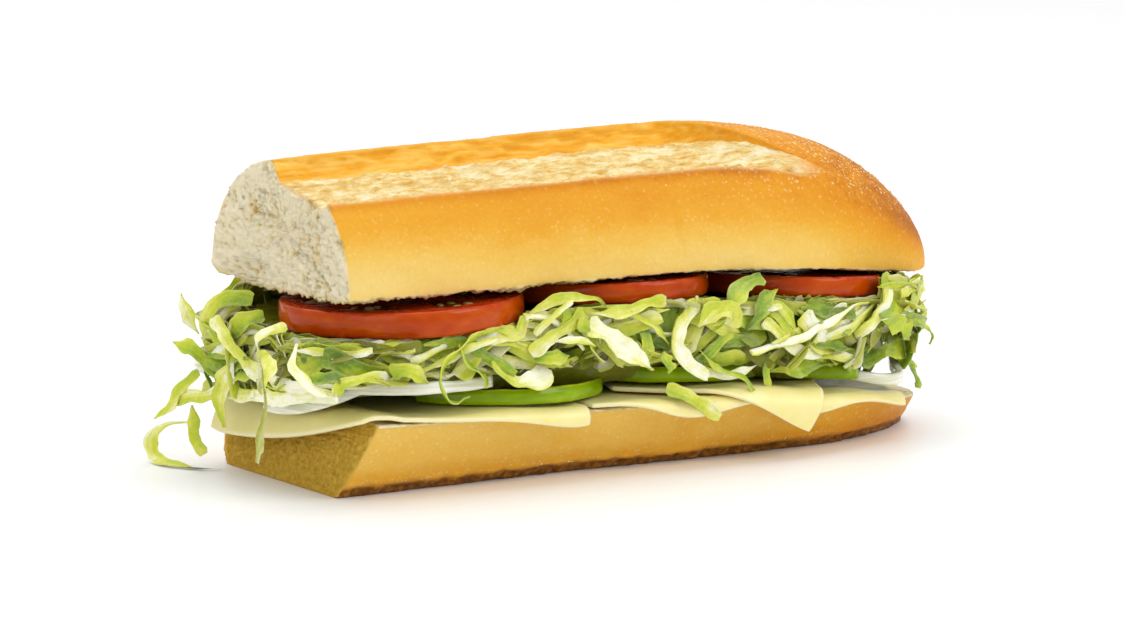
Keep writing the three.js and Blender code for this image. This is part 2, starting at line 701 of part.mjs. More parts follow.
function lettuceSolid(neighbours) {
  let heap = manifoldFrom(lettuceCoreSolid());
  for (const shred of [...PLACED_SHREDS, ...rowShreds()]) {
    heap = heap.add(manifoldFrom(shredSolid(shred)));
  }
  for (const neighbour of neighbours) {
    heap = heap.subtract(manifoldFrom(neighbour));
  }
  return largestBody(geometryFromManifold(heap));
}

// Assembly

const MATERIALS = {
  crust: { color: 0xe0a347, roughness: 0.7 },
  crustDark: { color: 0xd99a40, roughness: 0.72 },
  cheese: { color: 0xf4ecb4, roughness: 0.45 },
  tomato: { color: 0xc8431f, roughness: 0.25 },
  pepper: { color: 0x5f9a1c, roughness: 0.3 },
  onion: { color: 0xeeeede, roughness: 0.35 },
  lettuce: { color: 0xb5cf62, roughness: 0.5 },
};

const sandwich = new THREE.Group();

function addPart(name, geometry, material) {
  const mesh = new THREE.Mesh(geometry, new THREE.MeshStandardMaterial({ metalness: 0, ...MATERIALS[material] }));
  mesh.name = name;
  sandwich.add(mesh);
}

// Coarser and slightly larger copies, which trim the lettuce clear of its neighbours
const COARSE_GROWTH = 0.5;
const grown = [lidSolid(COARSE_GROWTH, 9, 8), heelSolid(COARSE_GROWTH, 7, 8)];

addPart('bread_bottom', heelSolid(), 'crustDark');
addPart('bread_top', lidSolid(), 'crust');
for (const [name, slice] of Object.entries(CHEESE_SLICES)) {
  addPart(name, cheeseSolid(slice), 'cheese');
  grown.push(cheeseSolid(slice, COARSE_GROWTH));
}
for (const [name, slice] of Object.entries(TOMATO_SLICES)) {
  addPart(name, tomatoSolid(slice), 'tomato');
  grown.push(tomatoSolid(slice, COARSE_GROWTH, 18));
}
for (const [name, strip] of Object.entries(PEPPER_STRIPS)) {
  addPart(name, pepperSolid(strip), 'pepper');
  grown.push(pepperSolid(strip, GAP));
}
for (const [name, strip] of Object.entries(ONION_STRIPS)) {
  addPart(name, onionSolid(new RingArc(strip)), 'onion');
  grown.push(onionSolid(new RingArc(strip), GAP));
}
for (const [name, points] of Object.entries(ONION_CURLS)) {
  addPart(name, onionSolid(onionCurve(points)), 'onion');
  grown.push(onionSolid(onionCurve(points), GAP));
}
addPart('lettuce', lettuceSolid(grown), 'lettuce');

export default sandwich;
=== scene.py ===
"""Looks of the submarine sandwich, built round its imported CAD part.

Shapes are worked out in millimetres from the same named sizes as the solids, on finer grids
and with the relief that the solids leave out. +X runs from the cut end to the rounded end,
-Y is the front and +Z is up.
"""

import math

import bpy
import numpy as np
from mathutils import Matrix


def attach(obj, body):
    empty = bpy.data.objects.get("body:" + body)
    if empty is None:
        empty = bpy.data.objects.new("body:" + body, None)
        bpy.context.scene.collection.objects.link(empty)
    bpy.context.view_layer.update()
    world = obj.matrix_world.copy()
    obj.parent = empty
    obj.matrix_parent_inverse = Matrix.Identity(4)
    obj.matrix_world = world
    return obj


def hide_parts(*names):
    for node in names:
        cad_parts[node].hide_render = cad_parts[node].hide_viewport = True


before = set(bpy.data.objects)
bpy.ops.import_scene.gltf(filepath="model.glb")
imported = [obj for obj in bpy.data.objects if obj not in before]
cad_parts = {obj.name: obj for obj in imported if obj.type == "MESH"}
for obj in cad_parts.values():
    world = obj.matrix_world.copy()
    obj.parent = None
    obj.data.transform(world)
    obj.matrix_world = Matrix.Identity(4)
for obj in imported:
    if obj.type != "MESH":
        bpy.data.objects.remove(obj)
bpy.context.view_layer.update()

MM = 0.001

# Driving dimensions of the roll
CUT_X = -100
LID_END_X = 108.5
HEEL_END_X = 102.5
LID_CENTRE_Y = 2.2
LID_HALF_WIDTH = 38.8
LID_EDGE_Z = 53.7
LID_CROWN_Z = 90.3
LID_DROOP = 9
HEEL_TOP_Z = 20.5
HEEL_RIM_Y = 42.5
HEEL_BASE_Y = 30.5
BASE_BAND_HEIGHT = 3.2
CUT_LEAN = 0.33
HEEL_CUT_X = CUT_X - 1.5

# The slash along the top of the roll
SLASH_FRONT_Y = -24.7
SLASH_BACK_Y = 5.7
SLASH_TIP_X = 64
SLASH_DEPTH = 6.4
SLASH_WALL_WIDTH = 5

# Fillings
GAP = 0.3
CHEESE_THICKNESS = 1.3
PEPPER_WALL = 4.2
PEPPER_HEIGHT = 4.4
ONION_WALL = 2.6
ONION_HEIGHT = 3.2
BEND_RADIUS = 3
SEED_RADII = np.array([1.7, 1.05, 0.5])

# Grains on the crust: their shape and how many are tried or laid
GRAIN_SHAPE = np.array([1, 0.8, 0.8])
LID_GRAIN_TRIES = 2600
HEEL_GRAINS = 260

# Camera, solved from the photo's perspective
CAMERA_AT = np.array([-779.43, -1229.42, 256.58])
CAMERA_FORWARD = np.array([0.5241, 0.8387, -0.1478])
CAMERA_RIGHT = np.array([0.8480, -0.5299, 0.0])
CAMERA_UP = np.cross(CAMERA_RIGHT, CAMERA_FORWARD)
SENSOR_WIDTH = 36
PHOTO_WIDTH = 1125
PHOTO_HEIGHT = 619
FOCAL_PIXELS = 5243.45


# Small mathematical helpers


def lerp(start, end, share):
    return start + (end - start) * share


def smooth(x, start, end):
    """0 up to start, 1 from end, and an S-curve between them."""
    share = np.clip((x - start) / (end - start), 0, 1)
    return share * share * (3 - 2 * share)


def round_off(x, start, end, power):
    """1 up to start, falling in a round arc to 0 at end."""
    share = np.clip((x - start) / (end - start), 0, 1)
    return (1 - share**power) ** (1 / power)


def steps_to_one(count):
    """Even shares from 0, stopping one step before 1."""
    return np.linspace(0, 1, count, endpoint=False)


def bell(x, middle, width):
    return np.exp(-(((x - middle) / width) ** 2))


def unit(vectors):
    length = np.linalg.norm(vectors, axis=-1, keepdims=True)
    return vectors / np.maximum(length, 1e-9)


def distance_run(points):
    """Distance run along a line of points, 0 at the first."""
    return np.concatenate([[0], np.cumsum(np.linalg.norm(np.diff(points, axis=0), axis=1))])


def at_pixel(pixel, axis, value):
    """Where the photo's line of sight through a pixel meets the plane x, y or z = value."""
    across = (pixel[0] - PHOTO_WIDTH / 2) / FOCAL_PIXELS
    down = (pixel[1] - PHOTO_HEIGHT / 2) / FOCAL_PIXELS
    ray = CAMERA_FORWARD + CAMERA_RIGHT * across - CAMERA_UP * down
    reach = (value - CAMERA_AT[axis]) / ray[axis]
    return CAMERA_AT + ray * reach


# Noise fields over points in millimetres


def cell_number(cell, seed):
    """A repeatable number from 0 to 1 for each whole-number cell."""
    mixed = cell[..., 0] * 374761393 + cell[..., 1] * 668265263 + cell[..., 2] * 974634777
    mixed = (mixed + seed * 1274126177) & 0xFFFFFFFF
    mixed = ((mixed ^ (mixed >> 13)) * 1274126177) & 0xFFFFFFFF
    mixed = mixed ^ (mixed >> 16)
    return (mixed & 0xFFFFFF) / 0xFFFFFF


def soft_noise(points, size, seed):
    """Smooth noise from -1 to 1; size is the lump size in mm, one number or one for each axis."""
    scaled = points / np.asarray(size, dtype=float)
    cell = np.floor(scaled).astype(np.int64)
    part = scaled - cell
    part = part * part * (3 - 2 * part)
    total = np.zeros(points.shape[:-1])
    for corner in np.ndindex(2, 2, 2):
        weight = np.prod(np.where(np.array(corner) == 1, part, 1 - part), axis=-1)
        total += weight * cell_number(cell + np.array(corner), seed)
    return total * 2 - 1


def layered_noise(points, size, seed):
    """Noise about 0 with three layers, each half as strong and half as large as the one before."""
    total = np.zeros(points.shape[:-1])
    strength, size = 1.0, np.asarray(size, dtype=float)
    for layer in range(3):
        total += strength * soft_noise(points, size, seed + layer)
        strength *= 0.5
        size = size / 2.03
    return total


def ridges(points, size, seed, layers):
    """Sharp crests near 1 with hollows near 0."""
    total = np.zeros(points.shape[:-1])
    strength, weight, size = 1.0, 0.0, np.asarray(size, dtype=float)
    for layer in range(layers):
        total += strength * (1 - np.abs(soft_noise(points, size, seed + layer)))
        weight += strength
        strength *= 0.55
        size = size / 2.1
    return total / weight


def pores(points, size, seed):
    """Distance to the nearest of scattered points: 0 at a pore's middle, about 1 between pores."""
    scaled = points / np.asarray(size, dtype=float)
    cell = np.floor(scaled).astype(np.int64)
    nearest = np.full(points.shape[:-1], 9.0)
    for step in np.ndindex(3, 3, 3):
        neighbour = cell + np.array(step) - 1
        place = np.stack([cell_number(neighbour, seed + k) for k in (11, 23, 37)], axis=-1)
        nearest = np.minimum(nearest, np.linalg.norm(neighbour + place - scaled, axis=-1))
    return np.clip(nearest, 0, 1)


# Mesh helpers

END_SHARES = np.linspace(0.1, 0.9, 4)
CORE_END_SHARES = np.linspace(0.05, 0.95, 8)


def grid_quads(rows, columns, closed=True, first=0):
    """Faces of a grid of points whose columns may run right round."""
    width = columns if closed else columns - 1
    row, column = np.meshgrid(np.arange(rows - 1), np.arange(width), indexing="ij")
    after = (column + 1) % columns
    here = first + row * columns
    there = here + columns
    quads = np.stack([here + column, here + after, there + after, there + column], axis=-1)
    return quads.reshape(-1, 4)


def enclosed_volume(points, quads):
    """Positive where the faces look outwards."""
    a, b, c, d = (points[quads[:, k]] for k in range(4))
    first = np.einsum("ij,ij->i", a, np.cross(b, c)).sum()
    second = np.einsum("ij,ij->i", a, np.cross(c, d)).sum()
    return (first + second) / 6


def add_piece(name, points, quads, material, nodes, marks=None, crisp=None):
    """Makes an object from points in mm, rides it on the sandwich and hides the parts that it stands for.
    Edges sharper than crisp degrees stay hard."""
    points = np.asarray(points, dtype=float).reshape(-1, 3)
    quads = np.asarray(quads)
    if enclosed_volume(points, quads) < 0:
        quads = quads[:, ::-1]
    faces = [list(dict.fromkeys(face)) for face in quads.tolist()]
    mesh = bpy.data.meshes.new(name)
    mesh.from_pydata((points * MM).tolist(), [], [face for face in faces if len(face) > 2])
    mesh.polygons.foreach_set("use_smooth", [True] * len(mesh.polygons))
    if crisp:
        mesh.set_sharp_from_angle(angle=math.radians(crisp))
    for mark, values in (marks or {}).items():
        layer = mesh.attributes.new(mark, "FLOAT", "POINT")
        layer.data.foreach_set("value", np.asarray(values, dtype=np.float32).reshape(-1))
    mesh.materials.append(material)
    piece = bpy.data.objects.new(name, mesh)
    bpy.context.scene.collection.objects.link(piece)
    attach(piece, "root")
    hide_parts(*nodes)
    return piece


def grid_normals(grid, closed=True):
    """Unit normals of a grid of points, one row after another."""
    along = np.gradient(grid, axis=0)
    if closed:
        around = np.roll(grid, -1, axis=1) - np.roll(grid, 1, axis=1)
    else:
        around = np.gradient(grid, axis=1)
    return unit(np.cross(around, along))


def outward_normals(grid, row, column, way):
    """Unit normals of a closed grid, turned to agree with a known way at one of its points."""
    normals = grid_normals(grid)
    return -normals if normals[row, column] @ np.asarray(way) < 0 else normals


def end_masks(rows, cap_shares, rim_start):
    """One value a row: 1 on the sides, 1 on the cut end, and 1 at the rim of the cut end."""
    cap = np.zeros((rows, 1))
    cap[: len(cap_shares)] = 1
    rim = np.zeros((rows, 1))
    rim[: len(cap_shares) + 1, 0] = smooth(np.append(np.sort(cap_shares), 1.0), rim_start, 1.0)
    return 1 - cap, cap, rim


def with_end_caps(rings, first_shares=END_SHARES, last_shares=END_SHARES):
    """Adds shrinking rings that close both ends; shares run from the rim (1) to the middle (0)."""
    start, end = rings[0], rings[-1]
    start_hub, end_hub = start.mean(axis=0), end.mean(axis=0)
    before = [lerp(start_hub, start, share) for share in sorted(first_shares)]
    after = [lerp(end_hub, end, share) for share in sorted(last_shares, reverse=True)]
    return np.stack([*before, *rings, *after])


def smooth_rings(rings, rounds):
    """Softens the corners of each closed ring."""
    for _ in range(rounds):
        rings = 0.5 * rings + 0.25 * (np.roll(rings, 1, axis=1) + np.roll(rings, -1, axis=1))
    return rings


# Material helpers


def linear(red, green, blue):
    """A colour given as it looks on screen, 0 to 255, for a shader."""
    parts = [value / 255 for value in (red, green, blue)]
    return tuple(p / 12.92 if p <= 0.04045 else ((p + 0.055) / 1.055) ** 2.4 for p in parts) + (1,)


def as_colour(value):
    """A shader colour from a screen colour, or the same number in all its parts."""
    return linear(*value) if isinstance(value, tuple) else (value, value, value, 1)


class Surface:
    """One procedural material, with short calls for the nodes used here. Sizes are in mm."""

    def __init__(self, name, **inputs):
        self.material = bpy.data.materials.new(name)
        self.material.use_nodes = True
        self.tree = self.material.node_tree
        self.shader = self.tree.nodes["Principled BSDF"]
        self.place = self.tree.nodes.new("ShaderNodeTexCoord").outputs["Object"]
        for key, value in inputs.items():
            self.shader.inputs[key.replace("_", " ")].default_value = value

    def _node(self, kind, links, **settings):
        node = self.tree.nodes.new(kind)
        for key, value in settings.items():
            setattr(node, key, value)
        for socket, value in links.items():
            if isinstance(value, bpy.types.NodeSocket):
                self.tree.links.new(value, node.inputs[socket])
            else:
                node.inputs[socket].default_value = value
        return node

    def _stretched(self, size):
        """Coordinates in lumps of the given size, one number or three."""
        sizes = size if isinstance(size, tuple) else (size,) * 3
        scale = tuple(1 / (length * MM) for length in sizes)
        return self._node("ShaderNodeMapping", {"Vector": self.place, "Scale": scale}).outputs["Vector"]

    def _noise_at(self, place, detail, roughness):
        links = {"Vector": place, "Scale": 1.0, "Detail": detail, "Roughness": roughness, "Distortion": 0.0}
        return self._node("ShaderNodeTexNoise", links).outputs["Fac"]

    def noise(self, size, detail=3, roughness=0.55):
        """Noise from 0 to 1."""
        return self._noise_at(self._stretched(size), detail, roughness)

    def fibres(self, across_size, run_size):
        """Noise drawn out along a strip of leaf, from its marks in mm across and along it."""
        across = self.maths("DIVIDE", self.mark("across"), across_size)
        run = self.maths("DIVIDE", self.mark("run"), run_size)
        place = self._node("ShaderNodeCombineXYZ", {"X": across, "Y": run}).outputs["Vector"]
        return self._noise_at(place, 4, 0.6)

    def cells(self, size, feature="F1"):
        """Distance to the middle of the nearest cell, or to its edge."""
        links = {"Vector": self._stretched(size), "Scale": 1.0, "Randomness": 1.0}
        return self._node("ShaderNodeTexVoronoi", links, feature=feature).outputs["Distance"]

    def mark(self, name):
        """A value stored on the mesh's points, 0 where the mesh doesn't have it."""
        return self._node("ShaderNodeAttribute", {}, attribute_name=name).outputs["Fac"]

    def ramp(self, factor, *stops):
        """Colours or numbers by factor; each stop is (position, screen colour or number)."""
        node = self._node("ShaderNodeValToRGB", {"Fac": factor})
        elements = node.color_ramp.elements
        while len(elements) < len(stops):
            elements.new(0.5)
        for element, (position, value) in zip(elements, stops):
            element.position = position
            element.color = as_colour(value)
        return node.outputs["Color"]

    def mix(self, factor, a, b):
        """From a to b, each a socket, a screen colour or a number."""
        node = self._node("ShaderNodeMix", {"Factor": factor}, data_type="RGBA")
        for socket, value in ((node.inputs[6], a), (node.inputs[7], b)):
            if isinstance(value, bpy.types.NodeSocket):
                self.tree.links.new(value, socket)
            else:
                socket.default_value = as_colour(value)
        return node.outputs[2]

    def maths(self, operation, a, b, limit=False):
        return self._node("ShaderNodeMath", {0: a, 1: b}, operation=operation, use_clamp=limit).outputs[0]

    def times(self, a, b):
        return self.maths("MULTIPLY", a, b)

    def plus(self, a, b):
        return self.maths("ADD", a, b)

    def swing(self, value, strength):
        """A value from 0 to 1 made to swing about 0."""
        return self.times(self.maths("SUBTRACT", value, 0.5), strength)

    def colour(self, socket):
        self.tree.links.new(socket, self.shader.inputs["Base Color"])

    def roughness(self, socket):
        self.tree.links.new(socket, self.shader.inputs["Roughness"])

    def bump(self, height, depth, strength, under=None):
        """Bump of the given depth; returns its normal so that another can lie over it."""
        links = {"Height": height, "Distance": depth * MM, "Strength": strength}
        if under is not None:
            links["Normal"] = under
        normal = self._node("ShaderNodeBump", links).outputs["Normal"]
        self.tree.links.new(normal, self.shader.inputs["Normal"])
        return normal


# Materials


def baked_crust(s, fine):
    """Straw to brown by the mark bake, with pale blisters where specks is high and a brown base."""
    bake = s.plus(s.mark("bake"), s.swing(s.noise((30, 16, 16), detail=4), 0.3))
    bake = s.plus(bake, s.swing(fine, 0.26))
    patches = s.swing(s.noise((7, 4, 4), detail=4, roughness=0.65), s.mark("specks"))
    crust = s.ramp(
        s.plus(bake, s.times(patches, 0.7)),
        (0.0, (232, 202, 122)),
        (0.28, (226, 182, 80)),
        (0.52, (221, 158, 36)),
        (0.78, (210, 134, 8)),
        (1.0, (172, 96, 2)),
    )
    blister = s.ramp(s.cells(1.7), (0.2, 1.0), (0.36, 0.0))
    small_blister = s.ramp(s.cells(0.95), (0.16, 0.8), (0.3, 0.0))
    blister = s.maths("MAXIMUM", blister, s.times(small_blister, s.mark("specks")))
    blister = s.times(blister, s.ramp(s.noise(4, detail=4, roughness=0.7), (0.44, 0.1), (0.6, 1.0)))
    crust = s.mix(s.times(s.times(blister, s.mark("specks")), 0.85), crust, (250, 228, 166))
    base = s.ramp(
        s.noise(1.8, detail=5, roughness=0.7), (0.3, (76, 42, 8)), (0.5, (126, 78, 16)), (0.7, (176, 124, 48))
    )
    return s.mix(s.mark("base_band"), crust, base)


def slash_floor(s):
    """Cream wool with toasted tips."""
    toast = s.plus(s.noise((5, 1.6, 1.6), detail=6, roughness=0.7), s.times(s.mark("toast"), 0.2))
    return s.ramp(
        toast, (0.38, (253, 244, 216)), (0.55, (249, 230, 174)),
        (0.7, (236, 200, 122)), (0.88, (218, 162, 72))
    )


def slash_wall(s):
    tone = s.plus(s.noise((16, 2, 2), detail=4), s.times(s.mark("bake"), -0.45))
    return s.ramp(tone, (0.0, (212, 136, 14)), (0.2, (228, 162, 34)), (0.42, (240, 194, 92)))


def cut_crumb(s):
    """Pale crumb with painted shade down its pores by the mark depth, and the denser crumb of the lower cut
    face, whose darker olive tone is painted shade.
    """
    crumb = s.ramp(
        s.mark("depth"),
        (0.0, (150, 114, 54)),
        (0.3, (206, 178, 118)),
        (0.55, (238, 218, 166)),
        (0.8, (252, 240, 206)),
    )
    # Painted shade: the lower cut face gets a darker olive tone.
    dense = s.ramp(
        s.noise(1.5, detail=5, roughness=0.7),
        (0.3, (184, 138, 34)), (0.55, (210, 170, 62)), (0.75, (228, 196, 98))
    )
    return s.mix(s.mark("dense"), crumb, dense)


def crust_surface():
    """Baked crust, slash floor, torn wall and cut crumb, told apart by marks on the mesh."""
    s = Surface(
        "crust", Roughness=0.5, Specular_IOR_Level=0.16,
        Subsurface_Weight=0.04, Subsurface_Scale=0.0015, Subsurface_Radius=(1.0, 0.9, 0.6),
    )
    fine = s.noise(1.1, detail=5, roughness=0.7)
    colour = s.mix(s.mark("floor"), baked_crust(s, fine), slash_floor(s))
    colour = s.mix(s.mark("wall"), colour, slash_wall(s))
    s.colour(s.mix(s.mark("crumb"), colour, cut_crumb(s)))
    rough = s.mix(s.mark("crumb"), s.ramp(fine, (0.3, 0.4), (0.7, 0.56)), 0.9)
    s.roughness(s.mix(s.mark("floor"), rough, 0.85))
    woolly = s.noise((1.5, 0.6, 0.8), detail=6, roughness=0.78)
    torn_parts = s.maths("ADD", s.mark("crumb"), s.mark("floor"), limit=True)
    s.bump(s.times(woolly, torn_parts), 0.9, 0.75, under=s.bump(fine, 0.2, 0.55))
    return s.material


def cheese_surface():
    s = Surface(
        "cheese", Roughness=0.38,
        Subsurface_Weight=0.35, Subsurface_Scale=0.004, Subsurface_Radius=(1.0, 0.8, 0.4),
    )
    face = s.ramp(s.noise(12), (0.3, (238, 222, 138)), (0.7, (245, 233, 164)))
    # Painted highlight: the rim of each slice is paler.
    s.colour(s.mix(s.mark("edge"), face, (243, 230, 176)))
    s.roughness(s.ramp(s.noise(3, detail=4), (0.35, 0.3), (0.7, 0.48)))
    s.bump(s.noise(2.4, detail=4), 0.12, 0.35)
    return s.material


def tomato_surface():
    """Skin on the rim, wet flesh and seed chambers on the cut faces."""
    s = Surface(
        "tomato", Roughness=0.22, Specular_IOR_Level=0.12, Coat_Weight=0.16, Coat_Roughness=0.05,
        Subsurface_Weight=0.08, Subsurface_Scale=0.002, Subsurface_Radius=(1.0, 0.3, 0.1),
    )
    skin = s.ramp(s.noise((9, 9, 4)), (0.3, (170, 54, 0)), (0.6, (186, 72, 0)), (0.8, (206, 98, 2)))
    clouds = s.noise(2.6, detail=4, roughness=0.6)
    flesh = s.ramp(clouds, (0.3, (160, 36, 2)), (0.6, (190, 62, 8)), (0.8, (216, 108, 34)))
    gel = s.ramp(s.noise(2), (0.3, (150, 52, 10)), (0.7, (188, 92, 24)))
    s.colour(s.mix(s.mark("skin"), s.mix(s.mark("chamber"), flesh, gel), skin))
    s.roughness(s.mix(s.mark("skin"), s.ramp(s.noise(1.4), (0.3, 0.12), (0.7, 0.3)), 0.16))
    s.bump(s.noise(1.3, detail=4), 0.15, 0.3)
    return s.material


def seed_surface():
    s = Surface("tomato_seed", Roughness=0.3, Subsurface_Weight=0.3, Subsurface_Scale=0.002)
    s.colour(s.ramp(s.noise(1.0), (0.3, (206, 168, 84)), (0.7, (232, 204, 128))))
    s.bump(s.noise(0.6), 0.1, 0.4)
    return s.material


def pepper_surface():
    s = Surface(
        "pepper", Roughness=0.25, Specular_IOR_Level=0.15, Coat_Weight=0.2, Coat_Roughness=0.08,
        Subsurface_Weight=0.2, Subsurface_Scale=0.003, Subsurface_Radius=(1.0, 1.0, 0.2),
    )
    skin = s.ramp(s.noise((10, 10, 3)), (0.3, (116, 148, 0)), (0.6, (138, 168, 0)), (0.8, (158, 186, 6)))
    flesh = s.ramp(s.noise(1.8, detail=4), (0.3, (176, 192, 20)), (0.7, (204, 214, 60)))
    s.colour(s.mix(s.mark("skin"), flesh, skin))
    s.roughness(s.mix(s.mark("skin"), 0.35, s.ramp(s.noise(4), (0.3, 0.16), (0.7, 0.26))))
    s.bump(s.noise(1.5), 0.12, 0.3)
    return s.material


def onion_surface():
    s = Surface(
        "onion", Roughness=0.25, Coat_Weight=0.4,
        Subsurface_Weight=0.5, Subsurface_Scale=0.004, Subsurface_Radius=(1.0, 1.0, 0.8),
    )
    streaks = s.noise((14, 14, 0.9), detail=4)
    s.colour(s.ramp(streaks, (0.3, (214, 214, 182)), (0.5, (236, 236, 214)), (0.7, (248, 248, 236))))
    s.roughness(s.ramp(streaks, (0.3, 0.18), (0.7, 0.34)))
    s.bump(s.noise((16, 16, 0.5)), 0.12, 0.5)
    return s.material


def lettuce_surface():
    """From white rib to green leaf by the mark shade, with veins and a wet gloss; the mark depth mixes in
    dark olive as painted shade.
    """
    s = Surface(
        "lettuce", Roughness=0.35, Specular_IOR_Level=0.22, Coat_Weight=0.12, Coat_Roughness=0.12,
        Subsurface_Weight=0.35, Subsurface_Scale=0.002, Subsurface_Radius=(0.9, 1.0, 0.2),
    )
    fibres = s.fibres(0.9, 9)
    shade = s.plus(s.mark("shade"), s.swing(s.noise(5, detail=5, roughness=0.65), 0.7))
    leaf = s.ramp(
        s.plus(shade, s.swing(fibres, 0.55)),
        (0.0, (246, 246, 220)),
        (0.2, (222, 222, 116)),
        (0.4, (194, 201, 36)),
        (0.62, (160, 182, 0)),
        (0.82, (116, 150, 0)),
        (1.0, (78, 112, 0)),
    )
    leaf = s.mix(s.times(s.noise(1.2), 0.14), leaf, (240, 242, 170))
    veins = s.ramp(s.cells((3.2, 3.2, 2.4), feature="DISTANCE_TO_EDGE"), (0.01, 1.0), (0.06, 0.0))
    leaf = s.mix(s.times(veins, s.times(s.mark("shade"), 0.12)), leaf, (236, 242, 150))
    leaf = s.mix(s.times(s.mark("edge"), 0.18), leaf, (236, 238, 150))
    # Painted shade: the mark depth darkens inner shreds and the core towards dark olive.
    s.colour(s.mix(s.mark("depth"), leaf, (84, 84, 0)))
    s.roughness(s.ramp(s.noise(2), (0.3, 0.24), (0.7, 0.46)))
    quilted = s.bump(s.noise((2.6, 2.6, 2.0), detail=2), 0.5, 0.5)
    ribbed = s.bump(fibres, 0.35, 0.6, under=quilted)
    s.bump(s.noise(0.8, detail=4), 0.1, 0.4, under=ribbed)
    return s.material


def grain_surface():
    s = Surface("grain", Roughness=0.8)
    s.colour(s.ramp(s.noise(1.0), (0.3, (226, 186, 112)), (0.7, (246, 222, 166))))
    s.bump(s.noise(0.5), 0.1, 0.4)
    return s.material


def floor_surface():
    s = Surface("floor", Roughness=0.4)
    s.colour(s.ramp(s.noise(400), (0.3, 0.94), (0.7, 0.95)))
    return s.material


CRUST = crust_surface()
CHEESE = cheese_surface()
TOMATO = tomato_surface()
TOMATO_SEED = seed_surface()
PEPPER = pepper_surface()
ONION = onion_surface()
LETTUCE = lettuce_surface()
GRAIN = grain_surface()


# Upper half of the roll

# A short upright crack low on the front, in the photo's pixels, and the plane it lies in
CRACK_PIXEL = (682, 232)
CRACK_Y = -36
LID_COLUMNS = {"flank": 56, "lip": 5, "floor": 58, "wall": 14, "back": 74, "under": 76}
LID_STRAIGHT_TO_X = 30
# The level of ridges() that counts as the bread's own surface
RIDGE_LEVEL = 0.62


def lid_droop(x):
    """The upper half sinks towards its rounded end and turns up a little at the tip."""
    run = np.maximum(0, x / 100)
    lift = np.maximum(0, (x - 92) / 16)
    return LID_DROOP * run**1.8 - 3 * lift * lift


def lid_edge_z(x):
    return LID_EDGE_Z - lid_droop(x)


def lid_crown_z(x):
    early = 2.9 * smooth(-x, -25, 120)
    return lerp(lid_edge_z(x), LID_CROWN_Z - early, round_off(x, 22, LID_END_X, 2))


def lid_half_width(x):
    return LID_HALF_WIDTH * round_off(x, 18, LID_END_X, 2.3)


def lid_underside_z(x, share):
    sag = 1.9 * round_off(x, 30, LID_END_X, 2)
    waves = 0.35 * np.sin(x * 0.21 + share * 2.4) + 0.25 * np.sin(x * 0.09 - share * 5)
    return lid_edge_z(x) - (sag + waves) * (1 - share * share)


def slash_front_y(x):
    return lerp(SLASH_FRONT_Y, -22.5, smooth(x, 50, SLASH_TIP_X))


def slash_back_y(x):
    return lerp(SLASH_BACK_Y, slash_front_y(x) + 2.4, smooth(x, 18, SLASH_TIP_X))


def lid_share(x, y, least=0):
    """From -1 at the front edge of the upper half to 1 at its back edge."""
    return np.clip((y - LID_CENTRE_Y) / np.maximum(lid_half_width(x), least), -1, 1)


def dome_z(x, y):
    share = lid_share(x, y)
    return lid_edge_z(x) + (lid_crown_z(x) - lid_edge_z(x)) * np.sqrt(1 - share * share)


def slash_floor_z(x, share):
    front = dome_z(x, slash_front_y(x)) - 2.7 * (1 - smooth(x, 10, 44))
    back = dome_z(x, slash_back_y(x)) - SLASH_DEPTH * (1 - smooth(x, 26, 58))
    return lerp(front, back, share**0.8)


def lid_zone(name):
    """First and last column of a zone of the lid's sections."""
    names = list(LID_COLUMNS)
    first = sum(LID_COLUMNS[n] for n in names[: names.index(name)])
    return first, first + LID_COLUMNS[name]


def lid_section(x):
    """One section of the upper half, from the front lower edge over the top and back below."""
    half = lid_half_width(x)
    edge = lid_edge_z(x)
    crown = lid_crown_z(x)
    in_slash = x < SLASH_TIP_X
    inside = min(x, SLASH_TIP_X)

    def dome(angle):
        return np.stack([LID_CENTRE_Y - half * np.cos(angle), edge + (crown - edge) * np.sin(angle)], axis=-1)

    beyond = smooth(x, SLASH_TIP_X, SLASH_TIP_X + 14)
    front_arc = lerp(math.acos(-lid_share(inside, slash_front_y(inside))), 0.28 * math.pi, beyond)
    back_arc = lerp(math.acos(-lid_share(inside, slash_back_y(inside))), 0.34 * math.pi, beyond)
    shares = {zone: steps_to_one(count) for zone, count in LID_COLUMNS.items()}

    flank = dome(lerp(0.0, front_arc, shares["flank"]))
    if in_slash:
        wall_width = SLASH_WALL_WIDTH * (1 - smooth(x, 20, 55))
        floor_y = lerp(slash_front_y(x), slash_back_y(x) - wall_width, shares["floor"])
        floor_y = floor_y + 0.9 * (1 - shares["floor"]) * (1 - smooth(x, 30, SLASH_TIP_X))
        floor = np.stack([floor_y, slash_floor_z(x, shares["floor"])], axis=-1)
    else:
        floor = dome(lerp(front_arc, back_arc, shares["floor"]))
    lip = lerp(dome(front_arc), floor[0], shares["lip"][:, None])
    wall = lerp(floor[-1], dome(back_arc), shares["wall"][:, None])
    wall[:, 0] += 0.9 * np.sin(math.pi * shares["wall"]) * in_slash * (1 - smooth(x, 20, 55))
    back = dome(lerp(back_arc, math.pi, shares["back"]))
    # The underside has more columns near its front edge, where it shows
    under_share = 1 - 2 * shares["under"] ** 0.62
    under = np.stack([LID_CENTRE_Y + half * under_share, lid_underside_z(x, under_share)], axis=-1)
    ring = np.concatenate([flank, lip, floor, wall, back, under])
    return np.column_stack([np.full(len(ring), x), ring])


def lid_stations():
    straight = np.linspace(CUT_X, LID_STRAIGHT_TO_X, 165, endpoint=False)
    angle = np.linspace(0, 0.487 * math.pi, 88)
    return np.concatenate([straight, lerp(LID_STRAIGHT_TO_X, LID_END_X, np.sin(angle))])


